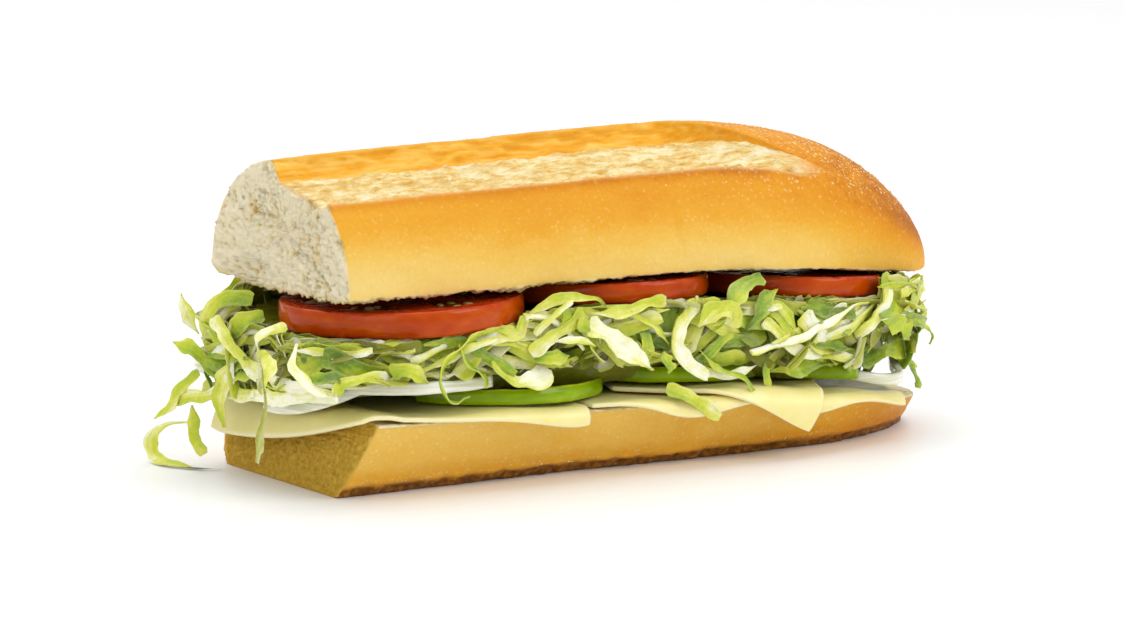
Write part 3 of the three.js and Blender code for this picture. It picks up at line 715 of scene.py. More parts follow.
def lid_masks(x, on_side):
    """How much each point belongs to the slash's floor and wall, the underside and the crust."""

    def zone_mask(name, soften=2):
        mask = np.zeros(x.shape[1])
        first, last = lid_zone(name)
        mask[first:last] = 1
        for _ in range(soften):
            mask = 0.5 * mask + 0.25 * (np.roll(mask, 1) + np.roll(mask, -1))
        return mask * on_side

    floor = np.maximum(zone_mask("floor"), zone_mask("lip") * 0.6) * (1 - smooth(x, 44, SLASH_TIP_X))
    wall = zone_mask("wall", 3) * (1 - smooth(x, 20, 52))
    under = zone_mask("under", 1)
    return floor, wall, under, np.clip(1 - floor - wall - under, 0, 1) * on_side


def torn_crumb(grid):
    """Height in mm of soft torn crumb: open pores, fibres and broad lumps."""
    open_pores = smooth(pores(grid, (3.2, 2.1, 2.6), 5), 0.1, 0.55)
    fibres = ridges(grid, (2.4, 1.3, 3.0), 3, layers=4) - RIDGE_LEVEL
    fine_fibres = ridges(grid, (1.1, 0.8, 1.5), 9, layers=2) - RIDGE_LEVEL
    return 0.6 * (open_pores - 0.6) + 2.5 * fibres + 1.5 * fine_fibres + 0.7 * layered_noise(grid, 8, 21)


def lid_crust_relief(grid):
    """Height in mm of the smooth crust: dents, a fine grain and the crack."""
    x, y, z = np.moveaxis(grid, -1, 0)
    height = 0.35 * layered_noise(grid, (34, 20, 20), 51) + 0.09 * layered_noise(grid, 2.2, 55)
    crack_at = at_pixel(CRACK_PIXEL, 1, CRACK_Y)
    crack = bell(x + 0.6 * layered_noise(grid, 4, 57), crack_at[0], 0.8) * bell(z, crack_at[2], 6)
    return height - 0.7 * crack * (y < 0)


def crumb_fringe(grid, towards_end):
    """Crumbs along the front edge of the underside, near the cut end only."""
    x, y = grid[..., 0], grid[..., 1]
    share = (y - LID_CENTRE_Y) / np.maximum(lid_half_width(x), 1)
    size = np.clip(0.05 + 0.45 * layered_noise(grid, (4, 30, 30), 31), 0, 0.5)
    return bell(share, -0.93, 0.07) * (1 - towards_end) * size


def lid_bake(x, y, height_share, lip):
    """How dark the upper half is baked: most at the lip, the crest and the rounded end."""
    front_bake = 0.5 * smooth(height_share, 0.05, 0.62)
    back_bake = 0.38 * smooth(height_share, 0.1, 0.9)
    bake = 0.16 + lerp(front_bake, back_bake, smooth(y, -4, 22))
    bake += 0.34 * smooth(x, 30, 108) + 0.2 * lip
    return bake - 0.1 * smooth(-x, 40, 100) - 0.32 * smooth(-x, 10, 100) * smooth(y, 4, 16)


def build_lid():
    rings = smooth_rings(np.stack([lid_section(x) for x in lid_stations()]), 2)
    cap_shares = np.linspace(0.012, 0.985, 46)
    grid = with_end_caps(rings, cap_shares)
    rows, columns = grid.shape[:2]
    x, y, z = np.moveaxis(grid, -1, 0)
    on_side, cap, rim = end_masks(rows, cap_shares, 0.965)
    floor, wall, under, crust = lid_masks(x, on_side)
    lip = bell(np.arange(columns), lid_zone("lip")[0] - 2, 3.5) * on_side * (1 - smooth(x, 30, 60))
    towards_end = smooth(x, -45, -5)

    crumb = torn_crumb(grid)
    wool = ridges(grid, (9, 3.4, 3.4), 41, layers=4) - RIDGE_LEVEL
    fine_wool = ridges(grid, (3.2, 1.3, 1.3), 45, layers=3) - RIDGE_LEVEL
    height = crust * lid_crust_relief(grid)
    height += floor * (2.4 * wool + 1.8 * fine_wool + 0.3)
    height += wall * (0.9 * layered_noise(grid, (6, 30, 3), 61) + 0.5 * fine_wool)
    height += under * (lerp(0.8, 0.35, towards_end) * crumb + crumb_fringe(grid, towards_end))
    height += cap * (1 - rim) * crumb + 0.5 * lip
    normals = outward_normals(grid, len(cap_shares) + 20, 20, [0, -1, 0])

    height_share = (z - lid_edge_z(x)) / np.maximum(lid_crown_z(x) - lid_edge_z(x), 6)
    specks = 0.16 + 0.75 * smooth(x, 0, 70) * smooth(height_share, 0.4, 0.8) + 0.3 * smooth(y, 8, 16)
    marks = {
        "bake": lid_bake(x, y, height_share, lip),
        "specks": np.clip(specks, 0, 1) * crust,
        "toast": smooth(wool, -0.15, 0.2) * floor,
        "floor": floor,
        "wall": wall,
        "crumb": np.clip(cap * (1 - 0.75 * rim) + under, 0, 1),
        # Painted shade: darker in the crumb's hollows, and darker again over the whole underside.
        "depth": np.clip(0.58 + 0.5 * crumb, 0, 1) * (1 - 0.6 * under),
    }
    finished = grid + normals * height[..., None]
    add_piece("bread_lid", finished, grid_quads(rows, columns), CRUST, ["bread_top"], marks)


# Lower half of the roll

HEEL_COLUMNS = {"base": 17, "band": 9, "side": 40, "top": 35}
HEEL_STRAIGHT_TO_X = 35
BAND_SHARE = 0.18


def heel_top_z(x):
    return HEEL_TOP_Z - 2.2 * (x - CUT_X) / 100 - 7 * np.maximum(0, x / 100) ** 1.5


def heel_rim_y(x):
    return HEEL_RIM_Y * round_off(x, HEEL_STRAIGHT_TO_X, HEEL_END_X, 2.1)


def heel_base_y(x):
    return HEEL_BASE_Y * (1 + 0.03 * np.sin(x * 0.045)) * round_off(x, 50, HEEL_END_X, 1.75)


def heel_section(x):
    """One section of the lower half, from the middle of its base round by the front."""
    top, rim, base = heel_top_z(x), heel_rim_y(x), heel_base_y(x)
    band_y = lerp(base, rim, BAND_SHARE)
    out, low, rise, across = (steps_to_one(count) for count in HEEL_COLUMNS.values())
    under = np.stack([base * out, 0 * out], axis=-1)
    band = np.stack([lerp(base, band_y, low**1.6), BASE_BAND_HEIGHT * low], axis=-1)
    side = np.stack([lerp(band_y, rim, rise**0.8), lerp(BASE_BAND_HEIGHT, top, rise)], axis=-1)
    over = np.stack([rim * (1 - across), np.full_like(across, top)], axis=-1)
    back = np.concatenate([under, band, side, over])
    front = back * np.array([-1, 1])
    ring = np.concatenate([front, [[0, top]], back[:0:-1]])
    return np.column_stack([np.full(len(ring), x), ring])


def heel_rings():
    """Sections from the leaning cut face to the rounded end."""
    straight = np.linspace(HEEL_CUT_X, HEEL_STRAIGHT_TO_X, 150, endpoint=False)
    angle = np.linspace(0, 0.485 * math.pi, 70)
    stations = np.concatenate([straight, lerp(HEEL_STRAIGHT_TO_X, HEEL_END_X, np.sin(angle))])
    rings = smooth_rings(np.stack([heel_section(x) for x in stations]), 2)
    share = np.clip((rings[..., 0] - HEEL_CUT_X) / (HEEL_STRAIGHT_TO_X - HEEL_CUT_X), 0, 1)
    rings[..., 0] += CUT_LEAN * np.maximum(0, 1 - 6 * share) * rings[..., 2]
    return rings


def build_heel():
    cap_shares = np.linspace(0.015, 0.985, 40)
    grid = with_end_caps(heel_rings(), cap_shares)
    rows, columns = grid.shape[:2]
    x, y, z = np.moveaxis(grid, -1, 0)
    on_side, cap, rim = end_masks(rows, cap_shares, 0.955)
    top = smooth(z - heel_top_z(x), -0.7, -0.3) * on_side
    base = smooth(-z, -0.5, -0.1) * on_side
    ragged = z + 0.7 * layered_noise(grid, 5, 71)
    band = (1 - smooth(ragged, BASE_BAND_HEIGHT - 1.2, BASE_BAND_HEIGHT + 0.6)) * on_side

    fine_pores = smooth(pores(grid, (2.0, 1.4, 1.2), 75), 0.1, 0.6)
    crumb = 0.7 * (fine_pores - 0.7) + 0.8 * (ridges(grid, 2.2, 77, layers=3) - 0.6)
    height = (1 - top - base).clip(0, 1) * on_side * 0.35 * layered_noise(grid, (30, 16, 12), 79)
    height += band * 0.5 * layered_noise(grid, (3, 3, 1.6), 81)
    height += top * 0.25 * crumb + cap * (1 - rim) * 0.8 * crumb
    height *= 1 - 0.8 * base
    # A low rounded ledge where the side meets the brown base
    ledge = bell(z, BASE_BAND_HEIGHT + 0.5, 0.9) * on_side
    height += 0.35 * ledge * (1 + layered_noise(grid, 3, 83))
    normals = outward_normals(grid, len(cap_shares) + 30, 40, [0, -1, 0])
    finished = grid + normals * height[..., None]
    finished[..., 2] = np.maximum(finished[..., 2], 0)

    marks = {
        "bake": 0.34 + 0.36 * smooth(x, 20, 100) - 0.1 * smooth(z, 8, 20) + 0.16 * smooth(-z, -9, -3),
        "specks": 0.25 * (1 - top) * on_side,
        "base_band": np.clip(band + base, 0, 1),
        "crumb": np.clip(cap * (1 - rim) + top, 0, 1),
        # Painted shade: darker in the crumb's hollows, and the whole cut face darker olive by the mark dense.
        "depth": np.clip(0.6 + 0.5 * crumb, 0, 1),
        "dense": cap * np.ones(columns),
    }
    add_piece("bread_heel", finished, grid_quads(rows, columns), CRUST, ["bread_bottom"], marks)


# Cheese

# Four corners of each flat slice, front-left first, then round the slice
CHEESE_SLICES = {
    "cheese_slice_1": {"corners": [[-99.5, -41], [-30, -50], [-30, 44], [-113, 33]], "end_sag": 3},
    "cheese_slice_2": {"corners": [[-28.8, -43.5], [26, -46.5], [34, 45], [-27, 47]], "front_sag": 3.6},
    "cheese_slice_3": {"corners": [[-16, -32], [40.5, -58], [66, -2], [10, 24]], "layer": 2.1},
    "cheese_slice_4": {"corners": [[39, -50], [82, -37], [89, 20], [43, 46]]},
}
CHEESE_GRID = (76, 88)


def fold_over(run, radius, steepest):
    """How far out and down a limp sheet reaches after it has run past an edge."""
    steepest = math.radians(steepest)
    angle = np.clip(run / radius, 0, steepest)
    rest = np.maximum(0, run - radius * steepest)
    out = radius * np.sin(angle) + rest * math.cos(steepest)
    down = radius * (1 - np.cos(angle)) + rest * math.sin(steepest)
    return out, down


def drape(flat_x, flat_y, layer):
    """Places points of a flat slice on the lower half, draped over its edges."""
    cut_edge = CUT_X + CUT_LEAN * HEEL_TOP_Z - 1.5
    along = np.clip(flat_x, cut_edge, HEEL_END_X)
    rim = heel_rim_y(along)
    side_out, side_down = fold_over(np.maximum(0, np.abs(flat_y) - rim), BEND_RADIUS + layer, 95)
    end_out, end_down = fold_over(np.maximum(0, cut_edge - flat_x), 7, 62)
    wave = 0.35 * (1 + np.sin(flat_x * 0.16 + flat_y * 0.05)) + 0.6 * smooth(-flat_x, 86, 92)
    y = np.sign(flat_y) * (np.minimum(np.abs(flat_y), rim) + side_out)
    z = heel_top_z(along) + GAP + CHEESE_THICKNESS / 2 + layer + wave - side_down - end_down
    return np.stack([along - end_out, y, z], axis=-1)


def cheese_points(u, v, corners, layer=0, front_sag=0, end_sag=0):
    """The middle of a slice; u runs along it and v from front to back, both 0 to 1."""
    a, b, c, d = (np.array(corner) for corner in corners)
    # Points crowd towards the edges, which bow in a little towards the corners
    square_u = 2 * (u - 0.06 * np.sin(2 * math.pi * u)) - 1
    square_v = 2 * (v - 0.09 * np.sin(2 * math.pi * v)) - 1
    share_u = 0.5 + 0.5 * square_u * (1 - 0.03 * square_v**8)
    share_v = 0.5 + 0.5 * square_v * (1 - 0.03 * square_u**8)
    flat = lerp(lerp(a, b, share_u[..., None]), lerp(d, c, share_u[..., None]), share_v[..., None])
    flat_x = flat[..., 0] - end_sag * np.sin(math.pi * share_v) * (1 - share_u) ** 2
    frontward = front_sag * bell(flat_x, 1, 14) * (1 - share_v) ** 3
    return drape(flat_x, flat[..., 1] - frontward, layer)


def build_cheese(name, shape):
    across, along = CHEESE_GRID
    u, v = np.meshgrid(np.linspace(0, 1, across), np.linspace(0, 1, along))
    middle = cheese_points(u, v, **shape)
    normals = grid_normals(middle, closed=False)
    ripple = 0.12 * layered_noise(middle, 9, 91)
    # The rounded edge: both faces close in over the last steps
    to_edge = np.minimum(np.minimum(u, 1 - u) * across, np.minimum(v, 1 - v) * along)
    half = CHEESE_THICKNESS / 2 * np.sqrt(np.clip((to_edge + 0.6) / 1.6, 0, 1))
    upper = middle + normals * (ripple + half)[..., None]
    lower = middle + normals * (ripple - half)[..., None]
    points = np.concatenate([upper.reshape(-1, 3), lower.reshape(-1, 3)])
    count = across * along
    faces = grid_quads(along, across, closed=False)
    index = np.arange(count).reshape(along, across)
    rim = np.concatenate([index[0, :-1], index[:-1, -1], index[-1, :0:-1], index[:0:-1, 0]])
    after = np.roll(rim, -1)
    rim_quads = np.stack([rim, rim + count, after + count, after], axis=-1)
    quads = np.concatenate([faces, faces[:, ::-1] + count, rim_quads])
    # Painted highlight: points near the slice's rim are marked to be paler.
    edge = np.tile((to_edge < 1.2).astype(float).reshape(-1), 2)
    add_piece(name + "_sheet", points, quads, CHEESE, [name], {"edge": edge})


# Tomato

TOMATO_SLICES = {
    "tomato_slice_1": {"at": [-69.2, -9.6, 46.4], "radius": 33.8, "thickness": 6.8,
                       "tilt_x": 0.3, "tilt_y": -1.4},
    "tomato_slice_2": {"at": [-4, -9, 47.6], "radius": 30.3, "thickness": 5.4, "tilt_x": 3.2, "tilt_y": 0.4},
    "tomato_slice_3": {"at": [57.4, -8, 43.9], "radius": 28.5, "thickness": 5.4, "tilt_x": 3, "tilt_y": 4},
}
TOMATO_AROUND = 200
TOMATO_BULGE = 0.7
CHAMBERS = 6
SEEDS_PER_CHAMBER = 4


def tomato_frame(shape):
    """Turns points of a level slice about its own middle into their place on the heap."""
    a, b = math.radians(-shape["tilt_x"]), math.radians(shape["tilt_y"])
    about_x = np.array([[1, 0, 0], [0, math.cos(a), -math.sin(a)], [0, math.sin(a), math.cos(a)]])
    about_y = np.array([[math.cos(b), 0, math.sin(b)], [0, 1, 0], [-math.sin(b), 0, math.cos(b)]])
    turn = about_y @ about_x
    return lambda points: points @ turn.T + np.array(shape["at"])


def chamber_share(radius_share, angle, offset):
    """1 inside a seed chamber, 0 in the flesh round it."""
    spoke = np.abs(((angle + offset) * CHAMBERS / (2 * math.pi)) % 1 - 0.5) * 2
    half_width = 0.72 - 0.25 * np.abs(radius_share - 0.6)
    inside = smooth(half_width - spoke, 0, 0.22)
    return inside * smooth(radius_share, 0.3, 0.4) * (1 - smooth(radius_share, 0.76, 0.83))


def tomato_profile(radius, half):
    """Radius and height from the middle of the lower face round the rim to that of the upper."""
    face = radius * np.sin(np.linspace(0.01, 1, 46) * math.pi / 2) - TOMATO_BULGE
    face = np.maximum(face, 0.02)
    rise = np.linspace(-1, 1, 15)[1:-1]
    rim_reach = radius - TOMATO_BULGE + TOMATO_BULGE * np.sqrt(1 - rise**2)
    rim = np.stack([rim_reach, half * rise * 0.985], axis=-1)
    lower = np.stack([face, np.full_like(face, -half)], axis=-1)
    upper = np.stack([face[::-1], np.full_like(face, half)], axis=-1)
    return np.concatenate([lower, rim, upper])


def build_tomato(name, shape, seed):
    radius, half = shape["radius"], shape["thickness"] / 2
    profile = tomato_profile(radius, half)
    angle = np.linspace(0, 2 * math.pi, TOMATO_AROUND, endpoint=False)
    lobes = 1 - 0.008 * (1 + np.cos(5 * angle + shape["at"][0]))
    r = profile[:, :1] * lobes
    z = np.repeat(profile[:, 1:], TOMATO_AROUND, axis=1)
    grid = np.stack([r * np.cos(angle), r * np.sin(angle), z], axis=-1)
    radius_share = r / radius
    is_face = np.abs(np.abs(grid[..., 2]) - half) < 1e-6
    chamber = chamber_share(radius_share, angle[None, :] + 0.25 * soft_noise(grid, 12, seed), seed) * is_face
    dents = 0.9 * chamber + 0.22 * layered_noise(grid, 4, seed + 3) * (radius_share < 0.97)
    grid[..., 2] -= np.sign(grid[..., 2]) * is_face * np.maximum(dents - 0.1, -0.1)
    marks = {"skin": smooth(radius_share, 0.972, 0.985), "chamber": chamber}
    points = tomato_frame(shape)(grid)
    add_piece(name + "_cut", points, grid_quads(*r.shape), TOMATO, [name], marks)


def ellipsoids(centres, radii, turns, rings=6, around=8):
    """Many small rounded grains as one set of points and faces."""
    polar = np.linspace(0.02, math.pi - 0.02, rings)[:, None]
    angle = np.linspace(0, 2 * math.pi, around, endpoint=False)
    level = np.repeat(np.cos(polar), around, axis=1)
    ball = np.stack([np.sin(polar) * np.cos(angle), np.sin(polar) * np.sin(angle), level], axis=-1)
    ball = ball.reshape(-1, 3)
    quads = grid_quads(rings, around)
    points = [(ball * radius) @ turn.T + centre for centre, radius, turn in zip(centres, radii, turns)]
    faces = [quads + k * len(ball) for k in range(len(points))]
    return np.concatenate(points), np.concatenate(faces)


def turn_about_z(angle):
    c, s = math.cos(angle), math.sin(angle)
    return np.array([[c, -s, 0], [s, c, 0], [0, 0, 1]])


def build_tomato_seeds(name, shape, seed):
    """Flat seeds in the gel, pointing to the slice's middle."""
    draw = np.random.default_rng(seed)
    centres, radii, turns = [], [], []
    for face in (-1, 1):
        height = face * (shape["thickness"] / 2 - 0.75)
        for k in range(CHAMBERS):
            middle = ((k + 0.5) / CHAMBERS) * 2 * math.pi - seed
            for _ in range(SEEDS_PER_CHAMBER):
                angle = middle + draw.uniform(-0.26, 0.26)
                distance = shape["radius"] * draw.uniform(0.48, 0.74)
                centres.append([distance * math.cos(angle), distance * math.sin(angle), height])
                radii.append(SEED_RADII * draw.uniform(0.85, 1.1))
                turns.append(turn_about_z(angle + draw.uniform(-0.4, 0.4)))
    points, quads = ellipsoids(np.array(centres), radii, turns)
    add_piece(name + "_seeds", tomato_frame(shape)(points), quads, TOMATO_SEED, [name])


# Pepper and onion


def cheese_top_z(x):
    return heel_top_z(x) + GAP + CHEESE_THICKNESS + 0.7


def on_first_slice(x):
    return cheese_top_z(x) + GAP + 0.2


def on_cheese(x):
    """Clear of the slices, which lie double from x = -17 on."""
    return cheese_top_z(x) + GAP + 2.4 * smooth(x, -26, -17)


def over_pepper(x):
    return on_cheese(x) + 5


def on_front_slice(x):
    """Level over the first slice, sagging past its cut end."""
    return 27.4 - 0.62 * np.maximum(0, -94 - x)


# Angles in degrees from the front of each ring, positive towards +X
PEPPER_STRIPS = {
    "pepper_front_1": {"centre": [-43, -8], "radius": 33, "start": -62, "end": 50, "lift_at": on_first_slice},
    "pepper_front_2": {"centre": [12, -6], "radius": 31, "start": -57, "end": 50, "lift_at": on_cheese},
    "pepper_front_3": {"centre": [60, -2], "radius": 31, "start": -38, "end": 12, "lift_at": on_cheese},
    "pepper_back_1": {"centre": [-40, 6], "radius": 33, "start": 128, "end": 232, "lift_at": on_cheese},
    "pepper_back_2": {"centre": [34, 4], "radius": 32, "start": 132, "end": 222, "lift_at": on_cheese},
}
ONION_STRIPS = {
    "onion_front_1": {"centre": [-70, -4.5], "radius": 36, "start": -98, "end": 20,
                      "lift_at": on_front_slice},
    "onion_back_1": {"centre": [-10, 6], "radius": 34, "start": 140, "end": 215, "lift_at": over_pepper},
}
ONION_CURLS = {
    "onion_front_2": [
        [50, -21.5, 22], [60, -26, 19.8], [70, -30.5, 16.6], [79, -31, 15], [86, -26, 15.2], [90, -16, 17.5],
    ],
    "onion_front_3": [[-104, 12, 25], [-107, 22, 25.5], [-109, 34, 26.5]],
}


def ring_arc(centre, radius, start, end, lift_at):
    """Ninety points along an arc of a sliced ring."""
    angle = np.radians(np.linspace(start, end, 90))
    x = centre[0] + radius * np.sin(angle)
    y = centre[1] - radius * np.cos(angle)
    return np.stack([x, y, lift_at(x)], axis=-1)


def through_points(points, steps):
    """A smooth curve through given points, at even shares of its length."""
    points = np.asarray(points, dtype=float)
    padded = np.concatenate([[2 * points[0] - points[1]], points, [2 * points[-1] - points[-2]]])
    t = np.linspace(0, 1, 24, endpoint=False)[:, None]
    spans = []
    for a, b, c, d in zip(padded, padded[1:], padded[2:], padded[3:]):
        square = (2 * a - 5 * b + 4 * c - d) * t**2
        cube = (3 * b - 3 * c + d - a) * t**3
        spans.append(0.5 * (2 * b + (c - a) * t + square + cube))
    dense = np.concatenate([*spans, points[-1:]])
    length = distance_run(dense)
    wanted = np.linspace(0, length[-1], steps)
    return np.stack([np.interp(wanted, length, dense[:, k]) for k in range(3)], axis=-1)


def bar_along(centres, section, ripple_seed, ripple):
    """A bar that follows points with its section upright; section is rows of (out, up)."""
    steps = len(centres)
    tangent = unit(np.gradient(centres, axis=0))
    out = unit(np.stack([tangent[:, 1], -tangent[:, 0], np.zeros(steps)], axis=-1))
    share = np.linspace(0, 1, steps)
    end = np.minimum(1, 0.5 + 7 * np.minimum(share, 1 - share))
    grid = centres[:, None, :] + out[:, None, :] * (section[None, :, :1] * end[:, None, None])
    grid[..., 2] += section[None, :, 1]
    half_way = grid[steps // 2]
    normals = outward_normals(grid, steps // 2, 0, half_way[0] - half_way.mean(axis=0))
    return with_end_caps(grid + normals * (ripple * layered_noise(grid, 5, ripple_seed))[..., None])


def rounded_section(corners):
    """Closed outline through corners, with its edges softened."""
    corners = np.asarray(corners, dtype=float)
    share = steps_to_one(7)[:, None]
    outline = np.concatenate([lerp(a, b, share) for a, b in zip(corners, np.roll(corners, -1, axis=0))])
    return smooth_rings(outline[None, ...], 3)[0]


def build_pepper(name, strip, seed):
    wall, height = PEPPER_WALL / 2, PEPPER_HEIGHT
    corners = [(-wall, 0), (wall - 0.5, 0), (wall, 0.3 * height), (wall - 0.2, 0.7 * height)]
    corners += [(wall - 1.0, height), (-wall, height - 0.6)]
    section = rounded_section(corners)
    grid = bar_along(ring_arc(**strip), section, seed, 0.16)
    rows, columns = grid.shape[:2]
    skin = smooth(section[:, 0], wall - 1.15, wall - 0.6)
    marks = {"skin": np.tile(skin, rows)}
    add_piece(name + "_strip", grid, grid_quads(rows, columns), PEPPER, [name], marks)


def build_onion(name, centres, seed):
    wall, height = ONION_WALL / 2, ONION_HEIGHT
    section = rounded_section([(-wall, 0), (wall, 0), (wall - 0.3, height), (-wall, height)])
    grid = bar_along(centres, section, seed, 0.14)
    add_piece(name + "_strip", grid, grid_quads(*grid.shape[:2]), ONION, [name])


# Lettuce

HEAP_MIDDLE_X = -8.5
HEAP_HALF_LENGTH = 101.5
HEAP_HALF_WIDTH = 41.5
HEAP_SQUARENESS = 5.5
SHRED_REACH = np.array([[-129.0, -48.5, 0.5], [109.0, 48.5, 52.0]])
SHRED_STRIDE = 1.9
SHRED_WIDTHS = {"rib": (2.0, 3.4), "strip": (2.4, 4.4), "leaf": (5.5, 8.5)}
TOWARDS_VIEWER = -CAMERA_FORWARD[:2] / np.linalg.norm(CAMERA_FORWARD[:2])

# Where the heap ends below, in the photo's pixels: in front over the cheese and pepper, and over
# the cut end
HEAP_HEM = [
    (250, 404), (270, 406), (300, 402), (350, 396), (400, 388), (440, 383), (490, 381), (530, 382),
    (560, 374), (600, 370), (640, 371), (680, 375), (700, 373), (740, 370), (780, 371), (820, 373),
    (860, 369), (885, 358), (905, 345),
]
HEM_Y = -43
END_HEM = [(190, 388), (212, 394), (235, 399), (262, 403), (300, 403), (345, 402)]
END_HEM_X = -108


def heap_outline(count=1600):
    """The heap seen from above: points, outward normals and distance run, from the back left."""
    t = np.linspace(0, 2 * math.pi, count, endpoint=False) + math.pi * 0.75
    power = 2 / HEAP_SQUARENESS
    x = HEAP_MIDDLE_X + HEAP_HALF_LENGTH * np.sign(np.cos(t)) * np.abs(np.cos(t)) ** power
    y = HEAP_HALF_WIDTH * np.sign(np.sin(t)) * np.abs(np.sin(t)) ** power
    points = np.stack([x, y], axis=-1)
    closed = np.concatenate([points, points[:1]])
    run = distance_run(closed)
    even = np.linspace(0, run[-1], count, endpoint=False)
    points = np.stack([np.interp(even, run, closed[:, k]) for k in range(2)], axis=-1)
    tangent = unit(np.roll(points, -1, axis=0) - np.roll(points, 1, axis=0))
    normals = np.stack([tangent[:, 1], -tangent[:, 0]], axis=-1)
    return points, normals, run[-1]


OUTLINE_POINTS, OUTLINE_NORMALS, OUTLINE_LENGTH = heap_outline()


def on_outline(run):
    """Place and outward direction on the heap's outline after a run of millimetres."""
    share = (np.asarray(run) / OUTLINE_LENGTH % 1) * len(OUTLINE_POINTS)
    index = np.floor(share).astype(int) % len(OUTLINE_POINTS)
    after = (index + 1) % len(OUTLINE_POINTS)
    part = (share - np.floor(share))[..., None]
    place = lerp(OUTLINE_POINTS[index], OUTLINE_POINTS[after], part)
    normal = unit(lerp(OUTLINE_NORMALS[index], OUTLINE_NORMALS[after], part))
    return place, normal


def ceiling_z(x, y):
    """The lowest thing above a point of the heap: a tomato slice or the upper half."""
    inside_x = np.clip(x, CUT_X, 100)
    ceiling = lid_underside_z(inside_x, lid_share(inside_x, y, least=5)) - 1.2
    ceiling = np.minimum(ceiling, 50 - 7 * smooth(-x, 92, 100))
    for shape in TOMATO_SLICES.values():
        dx, dy = x - shape["at"][0], y - shape["at"][1]
        middle = shape["at"][2] - math.tan(math.radians(shape["tilt_x"])) * dy
        middle = middle - math.tan(math.radians(shape["tilt_y"])) * dx
        under = middle - shape["thickness"] / 2 - 0.5
        # The slices' front stays bare, so nothing stands up between them and the viewer
        forward = np.clip(dx * TOWARDS_VIEWER[0] + dy * TOWARDS_VIEWER[1], 0, 60)
        aside = np.hypot(dx - forward * TOWARDS_VIEWER[0], dy - forward * TOWARDS_VIEWER[1])
        in_front = (forward > 0) & (aside < shape["radius"] - 0.5)
        near = (np.hypot(dx, dy) < shape["radius"] + 1.2) | in_front
        ceiling = np.where(near, np.minimum(ceiling, under), ceiling)
    return ceiling


def hem_height(pixels, axis, plane, wanted):
    """Height of a hem of the heap, drawn in the photo on a plane of x or y."""
    hem = np.array([at_pixel(pixel, axis, plane) for pixel in pixels])
    run = hem[:, 1 - axis]
    order = np.argsort(run)
    return np.interp(wanted, run[order], hem[order, 2])


def strip_top_z(x, y, strip, height, wall):
    """Top of a pepper or onion strip where it lies below the point, else far down."""
    dx, dy = x - strip["centre"][0], y - strip["centre"][1]
    angle = np.degrees(np.arctan2(dx, -dy)) % 360
    start, end = strip["start"] % 360, strip["end"] % 360
    in_range = (angle > start) & (angle < end) if start < end else (angle > start) | (angle < end)
    near = np.abs(np.hypot(dx, dy) - strip["radius"]) < wall / 2 + 0.7
    return np.where(in_range & near, strip["lift_at"](x) + height + 0.2, -99)


def ground_z(x, y):
    """The highest thing below a point of the heap: cheese, a strip or the hem in the photo."""
    within = heel_rim_y(np.clip(x, HEEL_CUT_X, 101))
    on_top = cheese_top_z(np.clip(x, -94, 100)) + 0.4 + 2.4 * smooth(x, -26, -17) * (1 - smooth(x, 60, 68))
    past_side = np.maximum(np.abs(y) - within, 0)
    past_end = np.maximum(-97 - x, 0) + np.maximum(x - 98, 0)
    ground = on_top - 0.75 * past_end - 12 * smooth(past_side, 1.5, 5)
    for strip in PEPPER_STRIPS.values():
        ground = np.maximum(ground, strip_top_z(x, y, strip, PEPPER_HEIGHT, PEPPER_WALL))
    for strip in ONION_STRIPS.values():
        ground = np.maximum(ground, strip_top_z(x, y, strip, ONION_HEIGHT, ONION_WALL))
    front_hem = hem_height(HEAP_HEM, 1, HEM_Y, x)
    end_hem = hem_height(END_HEM, 0, END_HEM_X, y)
    ground = np.where(y < -30, np.maximum(ground, front_hem), ground)
    ground = np.where(x < -98, np.maximum(ground, end_hem), ground)
    return np.maximum(ground, 23 * smooth(x, 86, 93))


def soft_floor(values, floor, give=0.6):
    """Values held above a floor, with a soft start."""
    return floor + give * np.logaddexp(0, (values - floor) / give)


def between(points, margin):
    """Keeps points of a shred between what lies under and over it."""
    x, y, z = points[..., 0], points[..., 1], points[..., 2]
    low = ground_z(x, y) + margin
    high = np.maximum(ceiling_z(x, y) - margin, low + 0.4)
    z = soft_floor(z, low)
    z = -soft_floor(-z, -high)
    return np.stack([x, y, np.maximum(z, 1.0)], axis=-1)


def end_width(share, steps, square):
    """Width of a strip by its share from one end, which is cut square or runs to a point."""
    if square:
        return np.clip(0.7 + share * steps / 2, 0, 1)
    return 0.12 + 0.88 * smooth(share, 0, 0.34)


def strip_width(width, steps, seed):
    """Width along a strip, with its two ends and a slow swell."""
    share = np.linspace(0, 1, steps)
    first = end_width(share, steps, math.sin(seed) > -0.2)
    last = end_width(1 - share, steps, math.cos(seed) > -0.2)
    return width * first * last * (1 + 0.14 * np.sin(share * 9 + seed) + 0.07 * np.sin(share * 23))


def ragged_edges(run, u, seed):
    """How far each edge of a strip wanders, as a share of its half width."""
    run_grid, side_grid = np.meshgrid(run, np.sign(u) * 40 + 9 * seed, indexing="ij")
    place = np.stack([run_grid, side_grid, side_grid * 0], axis=-1)
    return 0.34 * layered_noise(place, 6, 17) * np.abs(u)


def crinkled(run, u, crinkle, seed):
    """Waves in mm over the face of a strip, strongest at its edges."""
    phase = 0.62 * run + 1.6 * np.sin(0.18 * run + seed) + seed
    wave = crinkle * np.sin(phase[:, None] + 1.6 * np.sign(u)) * np.abs(u) ** 1.5
    return wave + crinkle * 0.4 * np.sin(2.3 * phase[:, None] + 4 * u)


def strip_axes(centres, facing, roll):
    """Directions across a strip and out of its broad side, turned by roll in radians."""
    tangent = unit(np.gradient(centres, axis=0))
    side = unit(np.cross(tangent, facing))
    broad = unit(np.cross(side, tangent))
    roll = np.broadcast_to(roll, len(centres))
    c, s = np.cos(roll)[:, None], np.sin(roll)[:, None]
    return side * c + broad * s, broad * c - side * s


